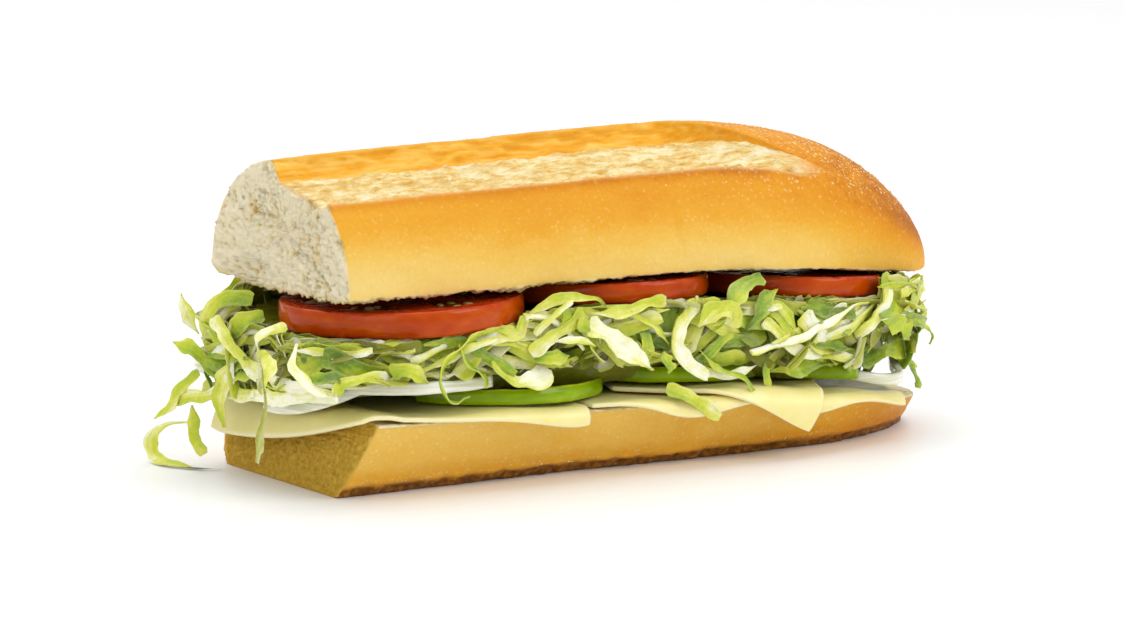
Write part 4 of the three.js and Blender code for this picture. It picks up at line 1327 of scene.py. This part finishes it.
class ShredHeap:
    """Collects many strips of leaf as one mesh."""

    def __init__(self):
        self.points, self.quads, self.count = [], [], 0
        self.marks = {"shade": [], "depth": [], "edge": [], "across": [], "run": []}

    def add(self, centres, facing, width, thickness, shade,
            depth=0.0, crinkle=0.0, cup=0.0, roll=0.0, seed=0):
        """A closed strip along centres, whose broad side looks along facing; depth is its painted shade."""
        steps = len(centres)
        u = np.linspace(-1, 1, 7 if width > 5 else 5)
        run = distance_run(centres)
        side, broad = strip_axes(centres, facing, roll)
        reach = u * (1 + ragged_edges(run, u, seed)) * strip_width(width, steps, seed)[:, None] / 2
        lift = crinkled(run, u, crinkle, seed) + cup * (u**2 - 0.4) * width
        centres = centres + 0.5 * np.stack([soft_noise(centres, 5, k) for k in (1, 2, 3)], axis=-1)
        middle = centres[:, None, :] + side[:, None, :] * reach[..., None]
        middle = middle + broad[:, None, :] * lift[..., None]
        half = broad[:, None, :] * (0.5 * thickness * (1 - 0.3 * np.abs(u) ** 3))[None, :, None]
        ring = np.concatenate([middle + half, (middle - half)[:, ::-1]], axis=1)
        self.add_faces(steps, ring.shape[1])
        self.points.append(ring.reshape(-1, 3))
        self.count += ring.shape[0] * ring.shape[1]
        self.add_marks(run, np.concatenate([u, u[::-1]]), width, shade, depth, seed)

    def add_faces(self, steps, columns):
        self.quads.append(grid_quads(steps, columns, first=self.count))
        strip = np.arange(columns // 2 - 1)
        mirror = columns - 1 - strip
        cap = np.stack([strip, mirror, mirror - 1, strip + 1], axis=-1) + self.count
        self.quads += [cap, cap[:, ::-1] + (steps - 1) * columns]

    def add_marks(self, run, u, width, shade, depth, seed):
        steps = len(run)
        share = np.linspace(0, 1, steps)
        lean = 0.16 * math.copysign(1, math.sin(3 * seed)) * u
        shades = shade + lean + 0.06 * np.abs(u) + 0.16 * np.sin(share * 4 + seed)[:, None]
        self.marks["shade"].append(np.clip(shades, 0, 1).reshape(-1))
        # The mark depth is painted shade, mixing the strip towards dark olive.
        self.marks["depth"].append(np.full(steps * len(u), depth))
        self.marks["edge"].append(np.tile((np.abs(u) > 0.99).astype(float), steps))
        self.marks["across"].append(np.tile(0.5 * width * u + 20 * seed, steps))
        self.marks["run"].append(np.repeat(run, len(u)))

    def finish(self, name):
        marks = {key: np.concatenate(values) for key, values in self.marks.items()}
        points = np.clip(np.concatenate(self.points), SHRED_REACH[0], SHRED_REACH[1])
        add_piece(name, points, np.concatenate(self.quads), LETTUCE, ["lettuce"], marks, crisp=48)


def build_heap_core():
    """The packed middle of the heap, seen only between the shreds; its dark colour is painted shade."""
    around = 520
    place, normal = on_outline(np.linspace(0, OUTLINE_LENGTH, around, endpoint=False))
    inset = (8 + 8 * smooth(place[:, 0], 60, 88))[:, None]
    rings = []
    for level in np.linspace(0, 1, 15):
        belly = 3.0 * (2 * level - 1) ** 4
        ring = place - normal * (inset + belly)
        low = cheese_top_z(np.clip(ring[:, 0], -94, 100)) + 3.4
        high = np.minimum(ceiling_z(ring[:, 0], ring[:, 1]), 45) - 0.8
        rings.append(np.column_stack([ring, lerp(low, np.maximum(high, low + 2), level)]))
    grid = np.stack(rings)
    normals = outward_normals(grid, 7, 0, [*normal[0], 0])
    lumps = 1.6 * layered_noise(grid, (12, 12, 4), 101) + 2.5 * (ridges(grid, (6, 6, 2), 107, layers=3) - 0.6)
    grid = with_end_caps(grid + normals * lumps[..., None], CORE_END_SHARES, CORE_END_SHARES)
    shade = np.clip(0.55 + 0.4 * layered_noise(grid, (14, 14, 3), 113), 0, 1)
    # Painted shade: depth 0.8 turns the core dark olive.
    marks = {"shade": shade, "depth": np.full(shade.shape, 0.8)}
    add_piece("lettuce_core", grid, grid_quads(*shade.shape), LETTUCE, ["lettuce"], marks)


def curled_strip(middle, facing, along, length, curl, twist, sway, curl_change):
    """A strip integrated both ways from its middle. Curl bends it away from its facing side, sway
    bends it in its own plane and twist turns it about its length, all in radians per millimetre."""
    half = max(5, int(length / SHRED_STRIDE / 2))
    sides = []
    for direction in (1, -1):
        place, tangent, normal = np.array(middle, dtype=float), along * direction, facing.copy()
        places, normals = [place], [normal]
        for k in range(half):
            bend = curl * (1 + curl_change * (direction * k / half))
            across = np.cross(normal, tangent)
            turned = tangent + SHRED_STRIDE * (-bend * normal + sway * direction * across)
            normal = normal + SHRED_STRIDE * (bend * tangent + twist * direction * across)
            tangent = turned / np.linalg.norm(turned)
            normal = normal - tangent * (normal @ tangent)
            normal = normal / np.linalg.norm(normal)
            place = place + tangent * SHRED_STRIDE
            places.append(place)
            normals.append(normal)
        sides.append((places, normals))
    (ahead, ahead_normals), (behind, behind_normals) = sides
    return np.array(behind[:0:-1] + ahead), np.array(behind_normals[:0:-1] + ahead_normals)


def region_shade(x, draw):
    """How green a shred is: paler at the cut end, greener towards the rounded end."""
    green = smooth(x, -50, 70)
    kind = draw.random() + 0.14 * green
    if kind < 0.36:
        return float(np.clip(draw.normal(0.04, 0.05), 0, 0.15))
    if kind < 0.74:
        return float(draw.normal(0.3 + 0.08 * green, 0.07))
    return float(np.clip(draw.normal(0.6 + 0.08 * green, 0.12), 0.4, 0.95))


def hold_in_heap(points, width):
    """Keeps a strip's centres inside the heap's outline, apart from a few millimetres."""
    margin = 0.34 * width
    low = ground_z(points[:, 0], points[:, 1]) + margin
    lift = np.clip((low - points[:, 2]).max(), 0, 9)
    held = between(points + np.array([0, 0, lift]), margin)
    squash_x = np.abs(held[:, 0] - HEAP_MIDDLE_X) / (HEAP_HALF_LENGTH + 1.5)
    squash_y = np.abs(held[:, 1]) / (HEAP_HALF_WIDTH + 2.5)
    reach = (squash_x**HEAP_SQUARENESS + squash_y**HEAP_SQUARENESS) ** (1 / HEAP_SQUARENESS)
    shrink = 1 / np.maximum(reach, 1)
    held[:, 0] = HEAP_MIDDLE_X + (held[:, 0] - HEAP_MIDDLE_X) * shrink
    held[:, 1] *= shrink
    return held


def draw_kind(x, draw):
    """Shade, kind and width of the strips of one bundle."""
    shade = region_shade(x, draw)
    kind = "rib" if shade < 0.16 else "strip"
    is_leaf = shade > 0.5 and draw.random() < 0.3
    width = draw.uniform(*SHRED_WIDTHS[kind])
    if is_leaf:
        return shade, "leaf", draw.uniform(*SHRED_WIDTHS["leaf"])
    return shade, kind, width


def draw_directions(normal, draw):
    """Directions of one bundle: out of the heap, along the strips, across them and their facing."""
    outward = unit(np.array([*normal, draw.normal(0.15, 0.25)]))
    level_way = unit(np.cross([0.0, 0.0, 1.0], outward))
    rise_way = np.cross(outward, level_way)
    heading = draw.normal(0, 0.62)
    along = level_way * math.cos(heading) + rise_way * math.sin(heading)
    across = np.cross(outward, along)
    tip = draw.normal(0, 0.6)
    return outward, along, across, outward * math.cos(tip) + across * math.sin(tip)


def scatter_bundles(heap, draw, count, levels, lengths):
    """Bundles of a few like strips, laid along the side of the heap at the given depths."""
    for k in range(count):
        place, normal = on_outline(OUTLINE_LENGTH * ((k + draw.uniform(0, 1)) / count))
        low, high = ground_z(place[0], place[1]), ceiling_z(place[0], place[1] * 0.86)
        z = draw.uniform(low + 1.5, max(high - 1.0, low + 3))
        level = draw.choice(levels)
        # Painted shade: the further in a bundle lies, the darker olive its colour.
        depth_shade = np.clip((-level - 0.5) / 6, 0, 0.8)
        shade, kind, width = draw_kind(place[0], draw)
        outward, along, across, facing = draw_directions(normal, draw)
        curl = draw.uniform(0.008, 0.055) if draw.random() < 0.8 else -draw.uniform(0.008, 0.04)
        length = draw.uniform(*lengths) * (0.7 if kind == "leaf" else 1)
        for member in range(draw.integers(1, 4)):
            shift = across * member * width * draw.uniform(0.5, 1.0) + outward * draw.uniform(-1.2, 0.8)
            middle = np.array([*(place + normal * level), z]) + shift
            centres, facings = curled_strip(
                middle, facing, along, length * draw.uniform(0.75, 1.1), curl * draw.uniform(0.8, 1.25),
                twist=draw.normal(0, 0.03), sway=draw.normal(0, 0.009), curl_change=draw.uniform(-0.9, 0.9),
            )
            heap.add(
                hold_in_heap(centres, width), facings, width * draw.uniform(0.85, 1.1),
                thickness=draw.uniform(0.8, 1.15) if kind == "rib" else 0.45,
                shade=float(np.clip(shade + draw.normal(0, 0.05), 0, 1)), depth=depth_shade,
                crinkle=0.05 if kind == "rib" else draw.uniform(0.1, 0.45) * (1.8 if kind == "leaf" else 1),
                cup=draw.uniform(-0.12, 0.12), seed=float(draw.uniform(0, 40)),
            )


def shred(width, shade, *path, crinkle=0.26, roll=0.0, cup=0.06):
    """A shred that stands out in the photo; its path is rows of pixel across, pixel down and the
    plane of x or y that the point lies in, in mm."""
    return {"width": width, "shade": shade, "path": path, "crinkle": crinkle, "roll": roll, "cup": cup}


# On planes of y, along the front
FRONT_SHREDS = {
    "hanging_strip": shred(
        5.6, 0.2, (272, 357, -38), (254, 383, -41), (252, 407, -42), (244, 428, -40), (230, 449, -38),
        (227, 466, -37), crinkle=0.5, roll=-0.2,
    ),
    "pale_diagonal": shred(
        2.6, 0.04, (285, 326, -33), (264, 334, -36), (248, 350, -38), (232, 368, -39), (218, 388, -38),
    ),
    "white_bend": shred(
        3.2, 0.05, (298, 345, -40), (291, 364, -42), (300, 378, -43), (314, 391, -44), (334, 396, -43),
    ),
    "small_leaf": shred(
        3.6, 0.86, (302, 379, -41), (318, 378, -43), (336, 377, -43), (344, 386, -42), crinkle=0.3,
    ),
    "ragged_strip": shred(
        2.8, 0.25, (336, 395, -43), (342, 384, -43), (356, 381, -43), (372, 378, -42), (392, 380, -40),
        crinkle=0.5,
    ),
    "leaf_flake": shred(
        4.0, 0.5, (392, 374, -41), (404, 370, -43), (416, 374, -43), (428, 383, -42), crinkle=0.5,
    ),
    "curl_front": shred(
        2.4, 0.6, (515, 324, -38), (480, 334, -42), (462, 350, -44), (447, 362, -45.5), (441, 381, -46),
        (446, 397, -46), (458, 403, -46), (471, 397, -45), roll=0.9,
    ),
    "curl_back": shred(
        2.2, 0.62, (460, 346, -44), (467, 362, -45), (480, 373, -45), (487, 386, -43), roll=0.6,
    ),
    "pale_bowl": shred(
        6.0, 0.1, (493, 360, -43), (502, 373, -44), (518, 383, -44.5), (534, 380, -44), (546, 368, -42),
        crinkle=0.3, roll=0.5,
    ),
    "wide_rib": shred(
        5.0, 0.06, (587, 325, -42.6), (610, 339, -44.2), (630, 352, -44.8), (654, 370, -44.6), cup=0.1,
    ),
    "short_white": shred(1.8, 0.02, (552, 343, -44), (570, 341, -45.5), (585, 342, -45.5), (596, 347, -44.5)),
    "narrow_rise": shred(1.8, 0.12, (534, 334, -42), (548, 322, -44), (562, 310, -44), (572, 303, -43)),
    "upright_leaf": shred(3.2, 0.6, (640, 328, -42), (645, 340, -43.5), (646, 352, -43.5), (642, 364, -42)),
    "thin_right": shred(1.6, 0.5, (628, 312, -43), (646, 322, -44), (660, 332, -44), (670, 344, -43)),
    "corner_leaf": shred(3.0, 0.55, (664, 352, -44), (667, 362, -45), (672, 371, -45)),
    "blocky_strip": shred(3.4, 0.26, (584, 314, -42), (568, 327, -43.5), (549, 339, -44), (530, 354, -43)),
    "low_leaf": shred(
        3.8, 0.66, (534, 359, -43), (548, 358, -44), (560, 358, -44), (569, 355, -44), crinkle=0.4,
    ),
    "top_hump": shred(
        2.5, 0.42, (522, 320, -40), (545, 306, -41.5), (570, 298, -42), (594, 298, -42), (605, 306, -41),
    ),
    "top_band": shred(3.0, 0.28, (591, 314, -42), (620, 311, -43), (647, 304, -42.5), (666, 302, -40)),
    "white_rib": shred(
        3.6, 0.0, (696, 303, -40), (683, 322, -43), (678, 343, -44.5), (686, 361, -45), (699, 373, -45),
        (707, 379, -45), cup=0.15,
    ),
    "between_slices": shred(
        4.6, 0.78, (760, 275, -39), (745, 284, -41), (736, 296, -42.5), (722, 312, -43), crinkle=0.5,
    ),
    "between_slices_2": shred(
        4.4, 0.82, (776, 290, -40), (764, 301, -42), (757, 315, -43), (745, 330, -42), crinkle=0.5,
    ),
    "pale_flake": shred(
        5.2, 0.18, (697, 327, -43), (716, 312, -44), (734, 311, -44), (727, 326, -43), crinkle=0.3,
    ),
    "long_rib": shred(
        3.0, 0.06, (763, 320, -42), (779, 336, -43), (797, 350, -43), (823, 354, -41), cup=0.15,
    ),
    "broad_flake": shred(
        6.2, 0.2, (802, 316, -41), (812, 328, -42), (820, 342, -42), (838, 349, -40), crinkle=0.3,
    ),
    "frilly_leaf": shred(
        4.4, 0.62, (767, 373, -41), (792, 368, -41), (820, 361, -40), (846, 357, -38), (852, 368, -36),
        crinkle=0.8,
    ),
    "hanging_tail": shred(2.4, 0.6, (772, 352, -41), (767, 369, -43), (770, 387, -43.5)),
    "rib_over_pepper": shred(2.6, 0.04, (700, 372, -43), (722, 374, -44), (742, 372, -43.5), (756, 366, -42)),
    "low_frill": shred(
        3.4, 0.4, (700, 300, -41), (716, 306, -42.5), (722, 318, -43), (714, 330, -43), crinkle=0.5,
    ),
    "thin_yellow": shred(
        1.6, 0.5, (700, 349, -43), (715, 367, -45), (737, 374, -46), (750, 386, -46), (758, 397, -46),
    ),
    "strip_over_cheese": shred(
        3.6, 0.3, (668, 386, -44), (688, 396, -46), (706, 407, -46.5), (720, 417, -46.5),
    ),
    "right_broad": shred(
        5.4, 0.5, (870, 294, -28), (877, 306, -28), (875, 323, -27), (866, 338, -26), crinkle=0.5,
    ),
    "right_wisp": shred(
        1.8, 0.3, (872, 284, -24), (884, 296, -22), (900, 303, -20), (916, 306, -18), (926, 300, -18),
        roll=0.4,
    ),
    "right_thread": shred(
        1.6, 0.5, (880, 344, -26), (893, 356, -23), (905, 362, -21), (917, 366, -19), roll=0.3,
    ),
    "right_curl": shred(
        2.2, 0.6, (880, 300, -22), (901, 296, -20), (920, 303, -18), (925, 314, -18), (915, 325, -18),
        roll=0.7,
    ),
    "right_hook": shred(
        2.6, 0.56, (885, 334, -22), (906, 326, -20), (926, 327, -17), (934, 335, -16), (931, 344, -16),
        roll=0.5,
    ),
    "right_drop": shred(1.8, 0.7, (899, 351, -22), (911, 364, -21), (918, 379, -20), (917, 388, -20)),
    "right_leaf": shred(
        5.0, 0.58, (852, 343, -34), (870, 339, -30), (888, 334, -26), (900, 338, -22), crinkle=0.7,
    ),
    "right_green": shred(
        5.2, 0.74, (862, 360, -33), (880, 352, -29), (896, 346, -26), (906, 350, -22), crinkle=0.7,
    ),
}

# On planes of x, over the cut end
CUT_END_SHREDS = {
    "left_upright": shred(3.8, 0.16, (181, 293, -114), (183, 307, -113), (190, 321, -111), (200, 334, -109)),
    "left_tip": shred(
        3.2, 0.5, (173, 341, -117), (190, 347, -115), (204, 359, -112), (214, 372, -110), crinkle=0.4,
    ),
    "left_band": shred(3.4, 0.1, (176, 396, -116), (198, 396, -114), (220, 392, -111), (246, 390, -108)),
    "left_loop_top": shred(
        2.8, 0.42, (199, 372, -112), (180, 388, -116), (172, 405, -118), (155, 419, -120), crinkle=0.4,
    ),
    "left_loop": shred(
        3.4, 0.3, (188, 423, -110), (168, 424, -114), (152, 431, -117), (149, 446, -118), (156, 459, -118),
        (178, 466, -116), (202, 472, -112), (222, 471, -108), roll=0.5,
    ),
    "left_hanging": shred(
        3.4, 0.3, (192, 405, -112), (194, 422, -113), (195, 440, -113), (204, 455, -111), crinkle=0.3,
    ),
    "left_long_band": shred(
        3.6, 0.06, (203, 388, -110), (240, 395, -111), (290, 398, -111), (338, 397, -108),
    ),
    "left_short_band": shred(3.0, 0.04, (262, 372, -109), (292, 388, -111), (330, 392, -109)),
    "left_drop": shred(
        4.2, 0.2, (236, 356, -110), (224, 380, -113), (219, 404, -114), (226, 426, -113), crinkle=0.4,
    ),
    "left_steep": shred(3.4, 0.1, (214, 318, -112), (226, 338, -113), (240, 356, -112), (262, 380, -110)),
    "left_leaf": shred(
        4.4, 0.5, (252, 300, -104), (232, 297, -108), (214, 306, -111), (207, 322, -112), (214, 338, -110),
        crinkle=0.6,
    ),
    "left_leaf_2": shred(
        4.4, 0.68, (262, 315, -104), (246, 318, -108), (232, 330, -110), (224, 346, -110), crinkle=0.6,
    ),
    "left_white": shred(3.8, 0.05, (212, 352, -112), (230, 345, -110), (244, 336, -108), (254, 322, -105)),
}

# Which way their broad side looks, by the axis of their planes
SHRED_FACING = {0: np.array([-0.75, -0.6, 0.25]), 1: np.array([0.0, -1.0, 0.3])}


def placed_shred(heap, axis, shape, seed):
    corners = [at_pixel((across, down), axis, plane) for across, down, plane in shape["path"]]
    rough_length = distance_run(corners)[-1]
    steps = max(12, int(rough_length / 1.1))
    facing = np.broadcast_to(SHRED_FACING[axis], (steps, 3))
    heap.add(
        through_points(corners, steps), facing, shape["width"], 0.9 if shape["shade"] < 0.15 else 0.5,
        shape["shade"], crinkle=shape["crinkle"], cup=shape["cup"],
        roll=shape["roll"] + 0.2 * np.sin(np.linspace(0, 5, steps) + seed), seed=seed,
    )


def build_lettuce():
    build_heap_core()
    draw = np.random.default_rng(77)
    inner, outer, placed = ShredHeap(), ShredHeap(), ShredHeap()
    scatter_bundles(inner, draw, 200, [-7, -6, -5, -4], lengths=(26, 56))
    scatter_bundles(outer, draw, 140, [-3, -2, -1], lengths=(22, 52))
    scatter_bundles(outer, draw, 60, [-0.5, 0.5, 1.0], lengths=(18, 40))
    shapes = [(1, shape) for shape in FRONT_SHREDS.values()]
    shapes += [(0, shape) for shape in CUT_END_SHREDS.values()]
    for k, (axis, shape) in enumerate(shapes):
        placed_shred(placed, axis, shape, 1.7 * k)
    inner.finish("lettuce_inner_shreds")
    outer.finish("lettuce_outer_shreds")
    placed.finish("lettuce_placed_shreds")


# Small grains baked on to the roll


def add_grains(name, node, centres, draw):
    count = len(centres)
    radii = [draw.uniform(0.14, 0.3) * GRAIN_SHAPE for _ in range(count)]
    turns = [turn_about_z(draw.uniform(0, 3)) for _ in range(count)]
    points, quads = ellipsoids(centres, radii, turns, rings=5, around=6)
    add_piece(name, points, quads, GRAIN, [node])


def build_lid_grains():
    """Semolina on the crest, thickest towards the rounded end and none in the slash."""
    draw = np.random.default_rng(15)
    x = draw.uniform(-60, 104, LID_GRAIN_TRIES)
    y = LID_CENTRE_Y + lid_half_width(x) * draw.uniform(-0.86, 0.94, LID_GRAIN_TRIES)
    height_share = (dome_z(x, y) - lid_edge_z(x)) / (lid_crown_z(x) - lid_edge_z(x))
    in_slash = (x < SLASH_TIP_X + 6) & (y > slash_front_y(x) - 2.5) & (y < slash_back_y(x) + 1.5)
    likely = smooth(x, -60, 90) * smooth(height_share, 0.45, 0.9)
    kept = (draw.random(LID_GRAIN_TRIES) < likely) & ~in_slash
    centres = np.stack([x, y, dome_z(x, y) - 0.02], axis=-1)[kept]
    add_grains("lid_grains", "bread_top", centres, draw)


def build_heel_grains():
    """Semolina along the foot of the lower half."""
    draw = np.random.default_rng(9)
    x = draw.uniform(HEEL_CUT_X + 3, 88, HEEL_GRAINS)
    z = BASE_BAND_HEIGHT + np.abs(draw.normal(0.2, 0.7, HEEL_GRAINS))
    rise = np.clip((z - BASE_BAND_HEIGHT) / (heel_top_z(x) - BASE_BAND_HEIGHT), 0, 1)
    band_y = lerp(heel_base_y(x), heel_rim_y(x), BAND_SHARE)
    side = np.where(draw.random(HEEL_GRAINS) < 0.5, -1, 1)
    y = side * (lerp(band_y, heel_rim_y(x), rise**0.8) + 0.25)
    add_grains("heel_grains", "bread_bottom", np.stack([x, y, z], axis=-1), draw)


# Studio, in metres and watts

FLOOR_REACH = 6.0
SKY_STRENGTH = 0.62
LIT_POINT = np.array([0, 0, 0.04])
SOFTBOXES = {
    "overhead": {"place": (0.1, 0.7, 2.2), "size": 2.8, "power": 44},
    "key": {"place": (0.6, -0.75, 0.7), "size": 0.6, "power": 4.5},
    "fill": {"place": (-0.9, -0.5, 0.45), "size": 0.8, "power": 2.2},
}


def stand(name, data, place, right, up, backward):
    """Adds a lamp or a camera, given its own three directions."""
    thing = bpy.data.objects.new(name, data)
    turn = Matrix(np.stack([right, up, backward], axis=-1).tolist()).to_4x4()
    thing.matrix_world = Matrix.Translation(place) @ turn
    bpy.context.scene.collection.objects.link(thing)
    return thing


def build_floor():
    mesh = bpy.data.meshes.new("studio_floor")
    corners = [(x * FLOOR_REACH, y * FLOOR_REACH, 0) for x, y in ((-1, -1), (1, -1), (1, 1), (-1, 1))]
    mesh.from_pydata(corners, [], [(0, 1, 2, 3)])
    mesh.materials.append(floor_surface())
    floor = bpy.data.objects.new("studio_floor", mesh)
    bpy.context.scene.collection.objects.link(floor)


def build_sky():
    world = bpy.data.worlds.new("studio")
    world.use_nodes = True
    background = world.node_tree.nodes["Background"]
    background.inputs["Color"].default_value = (1, 1, 1, 1)
    background.inputs["Strength"].default_value = SKY_STRENGTH
    bpy.context.scene.world = world
    bpy.context.scene.view_settings.view_transform = "Standard"
    bpy.context.scene.view_settings.look = "None"


def add_softbox(name, place, size, power):
    light = bpy.data.lights.new(name, "AREA")
    light.shape = "SQUARE"
    light.size = size
    light.energy = power
    backward = unit(np.array(place) - LIT_POINT)
    right = unit(np.cross(np.array([0.0, 0.0, 1.0]), backward))
    stand(name, light, place, right, np.cross(backward, right), backward)


def build_camera():
    data = bpy.data.cameras.new("camera")
    data.sensor_fit = "HORIZONTAL"
    data.sensor_width = SENSOR_WIDTH
    data.lens = FOCAL_PIXELS * SENSOR_WIDTH / PHOTO_WIDTH
    data.clip_end = 30
    place = (CAMERA_AT * MM).tolist()
    bpy.context.scene.camera = stand("camera", data, place, CAMERA_RIGHT, CAMERA_UP, -CAMERA_FORWARD)


build_camera()
build_floor()
build_sky()
for lamp_name, lamp in SOFTBOXES.items():
    add_softbox(lamp_name, **lamp)
build_heel()
build_lid()
for slice_name, slice_shape in CHEESE_SLICES.items():
    build_cheese(slice_name, slice_shape)
for number, (slice_name, slice_shape) in enumerate(TOMATO_SLICES.items()):
    build_tomato(slice_name, slice_shape, 3 + number)
    build_tomato_seeds(slice_name, slice_shape, 3 + number)
for number, (strip_name, strip_shape) in enumerate(PEPPER_STRIPS.items()):
    build_pepper(strip_name, strip_shape, 121 + number)
for number, (strip_name, strip_shape) in enumerate(ONION_STRIPS.items()):
    build_onion(strip_name, ring_arc(**strip_shape), 131 + number)
for number, (strip_name, curl_points) in enumerate(ONION_CURLS.items()):
    build_onion(strip_name, through_points(curl_points, 60), 141 + number)
build_lettuce()
build_lid_grains()
build_heel_grains()
